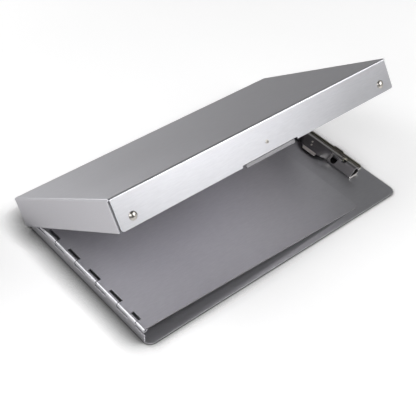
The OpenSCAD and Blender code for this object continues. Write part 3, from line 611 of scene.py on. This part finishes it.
def model_latch_rivet(finish):
    """Small rivet almost flush with the front wall, its face dished by the setting punch."""
    face = LID_Y[0] - LATCH_HEAD_H
    parts = []
    for y0, y1, diameter in ((face, LID_Y[0] + LATCH_HEAD_H, LATCH_HEAD_D),
                             (LID_Y[0], LATCH_TAIL_Y, LATCH_SHANK_D),
                             (LATCH_TAIL_Y, LATCH_TAIL_Y + LATCH_TAIL_H, LATCH_TAIL_D)):
        clear_selection()
        bpy.ops.mesh.primitive_cylinder_add(
            vertices=SHANK_SIDES, radius=diameter / 2 * MM, depth=(y1 - y0) * MM,
            rotation=(math.radians(90), 0, 0),
            location=(LATCH_X * MM, (y0 + y1) / 2 * MM, LATCH_AXIS_Z * MM))
        bpy.ops.object.transform_apply(location=True, rotation=True)
        parts.append(bpy.context.object)
    start_edit(parts[0])
    pick("FACE", lambda p, f: near(p.y, face))
    bpy.ops.mesh.bevel(offset=LATCH_HEAD_ROUND * MM, segments=PUNCH_STEPS, affect="EDGES")
    pick("FACE", lambda p, f: near(p.y, face) and len(f.verts) == SHANK_SIDES)
    bpy.ops.mesh.inset(thickness=DISH_RIM * MM)
    bpy.ops.mesh.extrude_region_move(TRANSFORM_OT_translate={"value": (0, DISH_DEPTH * MM, 0)})
    bpy.ops.transform.resize(value=(DISH_TAPER, 1, DISH_TAPER))
    end_edit()
    rivet = join_pieces(parts, "latch_rivet_head")
    coat(rivet, finish)
    shade(rivet, RIVET_SMOOTH)
    settle(rivet, to_open_lid())
    return rivet


def barrel_point(angle, radius, centre=(BARREL_X, BARREL_Z)):
    """A place on a circle round the barrel, as x and z, by its angle up from the clip end."""
    turn = math.radians(angle)
    return (centre[0] + radius * math.cos(turn), centre[1] + radius * math.sin(turn))


def slot_cutter(y):
    """A wedge that opens the barrel for an ear, over the angles that the jaw turns through."""
    half = EAR_T / 2 + EAR_GAP
    cutter = add_sheet("slot_cutter", (BARREL_X + 0.2, BARREL_X + 2 * BARREL_R),
                       (y - half, y + half), BARREL_Z)
    turn = Matrix.Translation(Vector((BARREL_X, 0, BARREL_Z)) * MM)
    settle(cutter, turn @ Matrix.Rotation(math.radians(-SLOT_ANGLES[0]), 4, "Y") @ turn.inverted())
    start_edit(cutter)
    bpy.ops.mesh.select_all(action="SELECT")
    bend_selected(SLOT_ANGLES[0] - SLOT_ANGLES[1], (BARREL_X, 0, BARREL_Z), (0, 1, 0), SLOT_STEPS)
    bpy.ops.mesh.select_all(action="SELECT")
    bpy.ops.mesh.remove_doubles(threshold=SEAM_MERGE)
    bpy.ops.mesh.normals_make_consistent(inside=False)
    end_edit()
    return cutter


def window_cutter(side, inner):
    """A block with two rounded corners that opens the jaw beside an ear."""
    ear = CLIP_Y + side * EAR_PITCH / 2
    x0, x1 = (BARREL_X + x for x in (WINDOW_INNER if inner else WINDOW_OUTER))
    away = -side if inner else side
    y = sorted((ear + away * WINDOW_Y[0], ear + away * WINDOW_Y[1]))
    low = BARREL_Z + WINDOW_LOW[0 if inner else 1]
    top = BARREL_Z + WINDOW_TOP
    cutter = add_block("window_cutter", (x0, y[0], low), (x1, y[1], top))
    start_edit(cutter)
    pick("EDGE", lambda p, e: near(p.x, x0) and within(p.z, low + 1, top - 1))
    bpy.ops.mesh.bevel(offset=WINDOW_R * MM, segments=WINDOW_STEPS, affect="EDGES")
    end_edit()
    return cutter


def model_jaw(finish, wear_and_highlight):
    """Sheet rolled round the rod and closed in a thin lip, with openings beside the ears."""
    jaw = add_sheet("clip_jaw_roll", (LIP_X, BARREL_X), JAW_Y, BARREL_Z - BARREL_R)
    start_edit(jaw)
    bend_edges(lambda p, e: near(p.x, BARREL_X), -(FACE_ANGLE + 90), (BARREL_X, 0, BARREL_Z),
               (0, 1, 0), BARREL_STEPS)
    bend_edges(lambda p, e: near(p.x, LIP_X) and near(p.z, BARREL_Z - BARREL_R), 270 - FACE_ANGLE,
               (LIP_X, 0, LIP_Z), (0, 1, 0), LIP_STEPS)
    top, tip = barrel_point(FACE_ANGLE, BARREL_R), barrel_point(FACE_ANGLE, LIP_R, (LIP_X, LIP_Z))
    pick("EDGE", lambda p, e: any(near(p.x, x) and near(p.z, z) for x, z in (top, tip))
         and within(p.y, CLIP_Y - 1, CLIP_Y + 1))
    bpy.ops.mesh.bridge_edge_loops()
    turn_out(lambda p, f: near(p.z, BARREL_Z - BARREL_R), (0, 0, -1))
    end_edit()
    thicken(jaw, JAW_T)
    for side in (-1, 1):
        cut_away(jaw, slot_cutter(CLIP_Y + side * EAR_PITCH / 2))
        for inner in (True, False):
            cut_away(jaw, window_cutter(side, inner))
    start_edit(jaw)
    bpy.ops.mesh.select_all(action="SELECT")
    bpy.ops.mesh.remove_doubles(threshold=TRIM_MERGE)
    end_edit()
    ease_edges(jaw, CLIP_EDGE)
    start_edit(jaw)
    bpy.ops.mesh.select_all(action="SELECT")
    bpy.ops.mesh.fill_holes(sides=MAX_HOLE)
    end_edit()
    coat(jaw, finish, wear_and_highlight)
    # The lower parts of the jaw's ends take the light second finish: worn plating and painted
    # highlight.
    coat_faces(jaw, 1, lambda p, f: not within(p.y, JAW_Y[0] + JAW_BAND, JAW_Y[1] - JAW_BAND)
               and p.z < BARREL_Z - BARREL_R / 2)
    tab = model_jaw_tab(finish)
    jaw = join_pieces([jaw, tab], "clip_jaw_roll")
    settle(jaw, to_board())
    return jaw


def tongue_point(s):
    """The lever's underside over its middle, from the barrel's top at 0 to the finger lip at 1."""
    fall = (1 - TONGUE_BEND) * s + TONGUE_BEND * s * s
    return (-TONGUE_BACK - (TONGUE_X - TONGUE_BACK) * s,
            LEVER_IN_R + (TONGUE_LOW - LEVER_IN_R) * fall)


def flank_point(s):
    """The lever's underside at its ends, round the barrel and down to the jaw's lip."""
    step = min(int(s * len(LEVER_ARC)), len(LEVER_ARC) - 1)
    share = s * len(LEVER_ARC) - step
    spots = [barrel_point(a, LEVER_IN_R, (0, 0)) for a in LEVER_ARC]
    edge = barrel_point(FACE_ANGLE, LEVER_IN_R, (0, 0))
    slope = math.radians(FACE_ANGLE - 90)
    run = LIP_X - BARREL_X + FLANK_STOP
    spots.append((edge[0] + run * math.cos(slope), edge[1] + run * math.sin(slope)))
    return tuple(a + (b - a) * share for a, b in zip(spots[step], spots[step + 1]))


def model_jaw_tab(finish):
    """Tongue of the jaw's sheet under the lever, which the lever is riveted to."""
    spots = [tongue_point(s / TAB_BENDS) for s in range(TAB_BENDS)]
    x1, x0 = BARREL_X + spots[0][0], BARREL_X + spots[1][0]
    z = BARREL_Z + spots[0][1] - LEVER_GAP
    tab = add_sheet("jaw_tab", (x0, x1), (LEVER_Y - TAB_HALF, LEVER_Y + TAB_HALF), z)
    coat(tab, finish)
    start_edit(tab)
    pick("EDGE", lambda p, e: near(p.x, x0))
    bpy.ops.transform.translate(value=(0, 0, (spots[1][1] - spots[0][1]) * MM))
    for a, b in zip(spots[1:], spots[2:]):
        pick("EDGE", lambda p, e: near(p.x, BARREL_X + a[0]))
        bpy.ops.mesh.extrude_edges_move(
            TRANSFORM_OT_translate={"value": ((b[0] - a[0]) * MM, 0, (b[1] - a[1]) * MM)})
    round_corners(lambda p, v: near(p.x, BARREL_X + spots[-1][0]), TAB_CORNER, TAB_CORNER_STEPS)
    turn_out(lambda p, f: f.normal.z != 0, (0, 0, 1))
    end_edit()
    thicken(tab, JAW_T)
    ease_edges(tab, THIN_EDGE)
    return tab


def model_lever(finish, wear_and_highlight, lip_finish):
    """Pressed lever: its middle reaches out to a finger lip and its ends hug the jaw."""
    clear_selection()
    bpy.ops.mesh.primitive_grid_add(x_subdivisions=LEVER_LINES, y_subdivisions=LEVER_ROWS, size=1)
    lever = bpy.context.object
    lever.name = "clip_lever_press"
    lever.scale = (TONGUE_X * MM, LEVER_L * MM, 1)
    lever.location = ((BARREL_X - TONGUE_X / 2) * MM, LEVER_Y * MM, 0)
    bpy.ops.object.transform_apply(location=True, scale=True)
    half, fall = TONGUE_L / 2, (LEVER_L - TONGUE_L) / 2
    rows = [LEVER_L / 2 - LEVER_L * j / LEVER_ROWS for j in range(LEVER_ROWS // 2)]
    rows = [y for y in rows if y > half + 0.01]
    start_edit(lever)
    for i in range(LEVER_LINES + 1):
        share = i / LEVER_LINES
        x = BARREL_X - TONGUE_X * share
        middle, end = tongue_point(share), flank_point(share)
        lift = (BARREL_X + middle[0] - x, 0, BARREL_Z + middle[1])
        pick("VERT", lambda p, v: near(p.z, 0) and near(p.x, x))
        bpy.ops.transform.translate(value=Vector(lift) * MM)
        for y in rows:
            part = (y - half) / fall
            eased = part * part * (3 - 2 * part)
            step = ((end[0] - middle[0]) * eased, 0, (end[1] - middle[1]) * eased)
            pick("VERT", lambda p, v: near(p.x, BARREL_X + middle[0])
                 and near(p.z, BARREL_Z + middle[1]) and near(abs(p.y - LEVER_Y), y))
            bpy.ops.transform.translate(value=Vector(step) * MM)
    front = BARREL_X + tongue_point(1)[0]
    pick("EDGE", lambda p, e: near(p.x, front) and abs(p.y - LEVER_Y) < half)
    bpy.ops.transform.translate(value=(FINGER_ROOT * MM, 0, 0))
    bpy.ops.mesh.extrude_edges_move(TRANSFORM_OT_translate={"value": Vector(FINGER_STEP) * MM})
    bpy.ops.transform.resize(value=(1, (half - FINGER_TAPER) / half, 1))
    turn_out(lambda p, f: near(p.y, LEVER_Y, 1) and p.x > BARREL_X - TONGUE_X / 2, (0, 0, -1))
    end_edit()
    thicken(lever, LEVER_T)
    ease_edges(lever, CLIP_EDGE, angle=LEVER_SHARP)
    coat(lever, finish, wear_and_highlight, lip_finish)
    # The lever's ends take the light second finish: worn plating and painted highlight.
    coat_faces(lever, 1, lambda p, f: abs(p.y - LEVER_Y) > LEVER_L / 2 - LEVER_BAND)
    # The finger lip takes the third, lighter finish: painted highlight.
    coat_faces(lever, 2, lambda p, f: p.x < front + 0.3 and f.normal.x < -0.7
               and abs(p.y - LEVER_Y) < half + 0.2)
    settle(lever, to_board())
    return lever


def model_lever_rivets(finish):
    """Two small bright rivets that hold the lever to the jaw's tab."""
    first = model_dome_rivet("lever_rivets", SPOT_HEAD, SPOT_BRIM, SPOT_SHANK_D,
                             LEVER_T + LEVER_GAP + JAW_T, SPOT_HEAD)
    rivets = [first, copy_piece(first, "lever_rivet_2")]
    run, fall = TONGUE_X - TONGUE_BACK, TONGUE_LOW - LEVER_IN_R
    for rivet, (x, y) in zip(rivets, LEVER_SPOTS):
        s = (-x - TONGUE_BACK) / run
        tilt = math.atan(fall * (1 - TONGUE_BEND + 2 * TONGUE_BEND * s) / run)
        foot = Vector((BARREL_X + x, LEVER_Y + y, BARREL_Z + tongue_point(s)[1]))
        place = (foot + LEVER_T * Vector((math.sin(tilt), 0, math.cos(tilt)))) * MM
        settle(rivet, Matrix.Translation(place) @ Matrix.Rotation(tilt, 4, "Y"))
    joined = join_pieces(rivets, "lever_rivets")
    coat(joined, finish)
    settle(joined, to_board())
    return joined


def model_ear(y, finish, wear_and_highlight):
    """One ear: a round eye for the rod on a foot that grows out of the base."""
    clear_selection()
    bpy.ops.mesh.primitive_cylinder_add(
        vertices=EAR_SIDES, radius=EAR_R * MM, depth=EAR_T * MM, rotation=(math.radians(90), 0, 0),
        location=(BARREL_X * MM, y * MM, BARREL_Z * MM))
    ear = bpy.context.object
    ear.name = "ear"
    bpy.ops.object.transform_apply(location=True, rotation=True)
    foot = Vector((EAR_FOOT[0] - BARREL_X, 0, EAR_FOOT[1] - BARREL_Z))
    start_edit(ear)
    pick("FACE", lambda p, f: abs(f.normal.y) < 0.5 and f.normal.dot(foot.normalized()) > 0.12)
    bpy.ops.mesh.extrude_region_move(TRANSFORM_OT_translate={"value": foot * MM})
    bpy.ops.transform.resize(value=(EAR_FOOT[2] / EAR_R, 1, EAR_FOOT[2] / EAR_R),
                             center_override=Vector((EAR_FOOT[0], y, EAR_FOOT[1])) * MM)
    end_edit()
    # Its eased edges take the light second finish: worn plating and painted highlight.
    coat(ear, finish, wear_and_highlight)
    ease_edges(ear, THIN_EDGE, angle=EAR_SHARP)
    return ear


def model_clip_base(finish, wear_and_highlight):
    """Strip behind the jaw with its raised rim, the small hook and the two ears."""
    base = add_sheet("clip_base_strip", (BASE_X[0], BASE_X[1] - BASE_FOLD), BASE_Y, SHEET)
    coat(base, finish, wear_and_highlight)
    inner = BASE_X[1] - BASE_FOLD
    start_edit(base)
    bend_edges(lambda p, e: near(p.x, inner), -FOLD_ANGLE, (inner, 0, SHEET + BASE_FOLD),
               (0, 1, 0), RIM_STEPS)
    bpy.ops.mesh.extrude_edges_move(
        TRANSFORM_OT_translate={"value": (0, 0, (RIM_TOP - SHEET - BASE_FOLD) * MM)})
    for y in HOOK_Y:
        cut(lambda p, f: near(p.x, BASE_X[1]), (0, y, 0), (0, 1, 0))
    pull_edges(lambda p, e: near(p.z, RIM_TOP) and HOOK_Y[0] < p.y < HOOK_Y[1],
               (0, 0, HOOK_TOP - RIM_TOP))
    round_corners(lambda p, v: near(p.z, HOOK_TOP), HOOK_CORNER, HOOK_STEPS)
    round_corners(lambda p, v: near(p.z, RIM_TOP) and not within(p.y, BASE_Y[0] + 1, BASE_Y[1] - 1),
                  RIM_CORNER, RIM_STEPS)
    turn_out(lambda p, f: near(p.z, SHEET), (0, 0, -1))
    end_edit()
    thicken(base, BASE_T)
    ease_edges(base, CLIP_EDGE)
    # The hook's top takes the light second finish, as the eased edges do: worn plating and painted
    # highlight.
    coat_faces(base, 1, lambda p, f: p.z > HOOK_TOP - 0.2)
    ears = [model_ear(CLIP_Y + side * EAR_PITCH / 2, finish, wear_and_highlight) for side in (-1, 1)]
    base = join_pieces([base] + ears, "clip_base_strip")
    settle(base, to_board())
    return base


def model_spring(name, side, finish):
    """Torsion spring: round wire curled round the rod, with two straight ends."""
    clear_selection()
    bpy.ops.mesh.primitive_circle_add(
        vertices=WIRE_SIDES, radius=WIRE_R * MM, rotation=(0, math.radians(90), 0),
        location=(0, 0, -CURL_R * MM))
    spring = bpy.context.object
    spring.name = name
    bpy.ops.object.transform_apply(location=True, rotation=True)
    apply_modifier(spring, "SCREW", "curls", axis="Y", angle=math.radians(-360 * CURLS),
                   screw_offset=CURLS * CURL_PITCH * MM, steps=CURL_STEPS * CURLS,
                   render_steps=CURL_STEPS * CURLS)
    start_edit(spring)
    for y, reach in ((0, -1), (CURLS * CURL_PITCH, 1)):
        pick("EDGE", lambda p, e: e.is_boundary and near(p.y, y, 1.0))
        end = (reach * SPRING_END * MM, 0, 0)
        bpy.ops.mesh.extrude_edges_move(TRANSFORM_OT_translate={"value": end})
        bpy.ops.mesh.edge_face_add()
    turn_out(lambda p, f: p.z < -CURL_R - 0.3, (0, 0, -1))
    end_edit()
    coat(spring, finish)
    shade(spring, SPRING_SMOOTH)
    flip = Matrix.Scale(-1, 4, (0, 1, 0)) if side < 0 else Matrix.Identity(4)
    place = Matrix.Translation(Vector((BARREL_X, CLIP_Y, BARREL_Z)) * MM)
    settle(spring, to_board() @ place @ flip @ Matrix.Translation((0, SPRING_PLACE * MM, 0)))
    start_edit(spring)
    bpy.ops.mesh.select_all(action="SELECT")
    bpy.ops.mesh.normals_make_consistent(inside=False)
    end_edit()
    return spring


def make_camera():
    """The camera at the photograph's viewpoint."""
    clear_selection()
    bpy.ops.object.camera_add(location=CAMERA_PLACE)
    camera = bpy.context.object
    camera.name = "camera"
    camera.data.lens = CAMERA_LENS
    camera.data.sensor_width = CAMERA_SENSOR
    turn = Matrix((CAMERA_RIGHT, CAMERA_UP, CAMERA_BACK)).transposed().to_4x4()
    camera.matrix_world = Matrix.Translation(camera.location) @ turn
    bpy.context.scene.camera = camera


def new_material(name, base, metallic, roughness):
    material = bpy.data.materials.new(name)
    material.use_nodes = True
    shader = material.node_tree.nodes["Principled BSDF"]
    shader.inputs["Base Color"].default_value = (*base, 1)
    shader.inputs["Metallic"].default_value = metallic
    shader.inputs["Roughness"].default_value = roughness
    return material, shader


def add_noise(tree, place, scale, detail):
    noise = tree.nodes.new("ShaderNodeTexNoise")
    noise.inputs["Scale"].default_value = scale
    noise.inputs["Detail"].default_value = detail
    tree.links.new(place, noise.inputs["Vector"])
    return noise.outputs["Fac"]


def mix_colours(tree, share, low, high):
    """A colour between two, by a share from 0 to 1."""
    mix = tree.nodes.new("ShaderNodeMix")
    mix.data_type = "RGBA"
    mix.inputs[MIX_LOW].default_value = (*low, 1)
    mix.inputs[MIX_HIGH].default_value = (*high, 1)
    tree.links.new(share, mix.inputs["Factor"])
    return mix.outputs[MIX_COLOUR]


def brushed_metal(name, base, dark, roughness, grain_axis, edge=0.25, metallic=1.0):
    """Metal with a fine grain drawn out along one axis, and a rougher bloom in faint clouds.

    The edge value is how bright the metal stays where it is seen at a flat angle.
    """
    material, shader = new_material(name, base, metallic, roughness)
    shader.inputs["Specular Tint"].default_value = (edge, edge, edge, 1)
    tree = material.node_tree
    nodes, links = tree.nodes, tree.links
    place = nodes.new("ShaderNodeTexCoord")
    grain_map = nodes.new("ShaderNodeMapping")
    grain_map.inputs["Scale"].default_value = [
        GRAIN_ALONG if axis == grain_axis else GRAIN_ACROSS for axis in range(3)]
    links.new(place.outputs["Object"], grain_map.inputs["Vector"])
    streaks = add_noise(tree, grain_map.outputs["Vector"], 1.0, GRAIN_DETAIL)
    clouds = add_noise(tree, place.outputs["Object"], CLOUD_SCALE, CLOUD_DETAIL)
    links.new(mix_colours(tree, streaks, dark, base), shader.inputs["Base Color"])
    gloss = nodes.new("ShaderNodeMapRange")
    gloss.inputs["To Min"].default_value = roughness - SMOOTHER
    gloss.inputs["To Max"].default_value = roughness + ROUGHER
    links.new(clouds, gloss.inputs["Value"])
    links.new(gloss.outputs["Result"], shader.inputs["Roughness"])
    return material


def pale_floor():
    """Pale floor whose painted glow grows from the middle outwards, with a painted contact shadow
    that darkens it where something stands on it.
    """
    pale, shader = new_material("pale_floor", PALE, 0.0, FLOOR_ROUGHNESS)
    shader.inputs["Specular IOR Level"].default_value = 0.0
    shader.inputs["Emission Color"].default_value = (1, 1, 1, 1)
    tree = pale.node_tree
    nodes, links = tree.nodes, tree.links
    place = nodes.new("ShaderNodeTexCoord")
    reach = nodes.new("ShaderNodeVectorMath")
    reach.operation = "LENGTH"
    links.new(place.outputs["Object"], reach.inputs[0])
    glow = nodes.new("ShaderNodeMapRange")
    glow.inputs["From Min"].default_value = GLOW_REACH[0]
    glow.inputs["From Max"].default_value = GLOW_REACH[1]
    glow.inputs["To Min"].default_value = FLOOR_GLOW[0]
    glow.inputs["To Max"].default_value = FLOOR_GLOW[1]
    links.new(reach.outputs["Value"], glow.inputs["Value"])
    # Painted contact shadow: nearby surfaces darken the floor's colour and its glow.
    contact = nodes.new("ShaderNodeAmbientOcclusion")
    contact.samples = CONTACT_RAYS
    contact.inputs["Distance"].default_value = CONTACT_REACH
    deepen = nodes.new("ShaderNodeMath")
    deepen.operation = "POWER"
    deepen.inputs[1].default_value = CONTACT_DEPTH
    links.new(contact.outputs["AO"], deepen.inputs[0])
    links.new(mix_colours(tree, deepen.outputs[0], BLACK, PALE), shader.inputs["Base Color"])
    strength = nodes.new("ShaderNodeMath")
    strength.operation = "MULTIPLY"
    links.new(glow.outputs["Result"], strength.inputs[0])
    links.new(deepen.outputs[0], strength.inputs[1])
    links.new(strength.outputs[0], shader.inputs["Emission Strength"])
    return pale


def lay_floor(finish):
    clear_selection()
    bpy.ops.mesh.primitive_plane_add(size=FLOOR_SIZE, location=(0, 0, FLOOR_Z))
    floor = bpy.context.object
    floor.name = "floor"
    floor.data.materials.append(finish)


def hang_softboxes():
    """Square area lights all round, each facing the middle of the frame."""
    for name, (azimuth, height, distance), size, power in SOFTBOXES:
        turn, rise = math.radians(azimuth), math.radians(height)
        level = math.cos(rise)
        place = distance * Vector((level * math.sin(turn), -level * math.cos(turn), math.sin(rise)))
        bpy.ops.object.light_add(type="AREA", location=place)
        light = bpy.context.object
        light.name = name
        light.data.size = size
        light.data.energy = power
        light.data.color = LIGHT_COLOUR
        light.rotation_mode = "QUATERNION"
        light.rotation_quaternion = (-place).to_track_quat("-Z", "Y")


def dim_studio():
    """A little even light from all round."""
    world = bpy.data.worlds.new("studio")
    bpy.context.scene.world = world
    world.use_nodes = True
    background = world.node_tree.nodes["Background"]
    background.inputs["Color"].default_value = (*WORLD_COLOUR, 1)
    background.inputs["Strength"].default_value = WORLD_STRENGTH
    bpy.context.scene.view_settings.view_transform = "Standard"


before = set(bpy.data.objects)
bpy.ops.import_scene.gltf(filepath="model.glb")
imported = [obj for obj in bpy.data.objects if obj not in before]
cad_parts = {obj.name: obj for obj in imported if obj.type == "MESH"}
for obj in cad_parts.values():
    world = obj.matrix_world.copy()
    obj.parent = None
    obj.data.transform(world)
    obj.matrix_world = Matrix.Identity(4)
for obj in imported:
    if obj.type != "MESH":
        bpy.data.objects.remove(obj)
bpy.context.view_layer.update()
make_camera()
lay_floor(pale_floor())
hang_softboxes()
dim_studio()

satin = brushed_metal(
    "satin_aluminium", (0.65, 0.64, 0.666), (0.544, 0.534, 0.56), 0.36, ALONG_BOARD, metallic=0.9)
wire = brushed_metal(
    "drawn_wire", (0.60, 0.60, 0.61), (0.50, 0.50, 0.51), 0.28, ACROSS_BOARD)
nickel = brushed_metal(
    "nickel_rivet", (0.60, 0.565, 0.52), (0.54, 0.51, 0.47), 0.3, UPRIGHT, edge=0.6)
# Darker metal for the plate's cut edges and for the latch strip inside the recess: painted shade.
painted_shade = brushed_metal(
    "painted_shade_edge", (0.34, 0.33, 0.34), (0.26, 0.25, 0.26), 0.5, ALONG_BOARD, metallic=0.9)
gunmetal = brushed_metal(
    "gunmetal_plating", (0.33, 0.32, 0.32), (0.25, 0.24, 0.24), 0.34, ACROSS_BOARD, edge=0.7)
dark_plated = brushed_metal(
    "dark_plating", (0.17, 0.16, 0.165), (0.12, 0.115, 0.115), 0.34, ACROSS_BOARD, edge=0.7)
olive_plated = brushed_metal(
    "olive_plating", (0.50, 0.48, 0.425), (0.39, 0.375, 0.33), 0.36, ACROSS_BOARD, edge=0.7)
# Light metal for the clip's ends, eased edges and hook top: worn plating and painted highlight.
wear_and_highlight_edge = brushed_metal(
    "wear_and_highlight_plating", (0.68, 0.65, 0.61), (0.54, 0.52, 0.49), 0.36, ACROSS_BOARD, edge=0.8)
# Lighter, half-metal finish for the lever's finger lip: painted highlight.
painted_highlight_lip = brushed_metal(
    "painted_highlight_lip", (0.72, 0.665, 0.63), (0.58, 0.54, 0.51), 0.5, ACROSS_BOARD, edge=0.8,
    metallic=0.45)
for name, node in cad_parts.items():
    node.data.materials.clear()
    node.data.materials.append(olive_plated if name == "clip_base_rivets" else wire)

finish_piece(model_board(satin), "base", "board_sheet", "board")
finish_piece(model_writing_plate(satin, painted_shade), "plate", "plate_sheet", "writing_plate")
finish_piece(model_lid(satin), "cover", "lid_sheet", "lid")
finish_piece(model_corner_rivets(nickel), "cover", "rivet_metal", "lid_corner_rivets")
finish_piece(model_latch(wire, painted_shade), "latch", "latch_steel", "latch_spring")
finish_piece(model_latch_rivet(nickel), "cover", "rivet_metal", "latch_rivet")
finish_piece(model_jaw(gunmetal, wear_and_highlight_edge), "jaw", "clip_dark", "clip_jaw")
finish_piece(model_lever(dark_plated, wear_and_highlight_edge, painted_highlight_lip), "jaw", "clip_dark", "clip_lever")
finish_piece(model_lever_rivets(nickel), "jaw", "rivet_metal", "clip_lever_rivets")
finish_piece(model_clip_base(olive_plated, wear_and_highlight_edge), "base", "clip_base_dark", "clip_base")
finish_piece(model_spring("spring_front", -1, wire), "base", "spring_steel", "clip_spring_front")
finish_piece(model_spring("spring_back", 1, wire), "base", "spring_steel", "clip_spring_back")
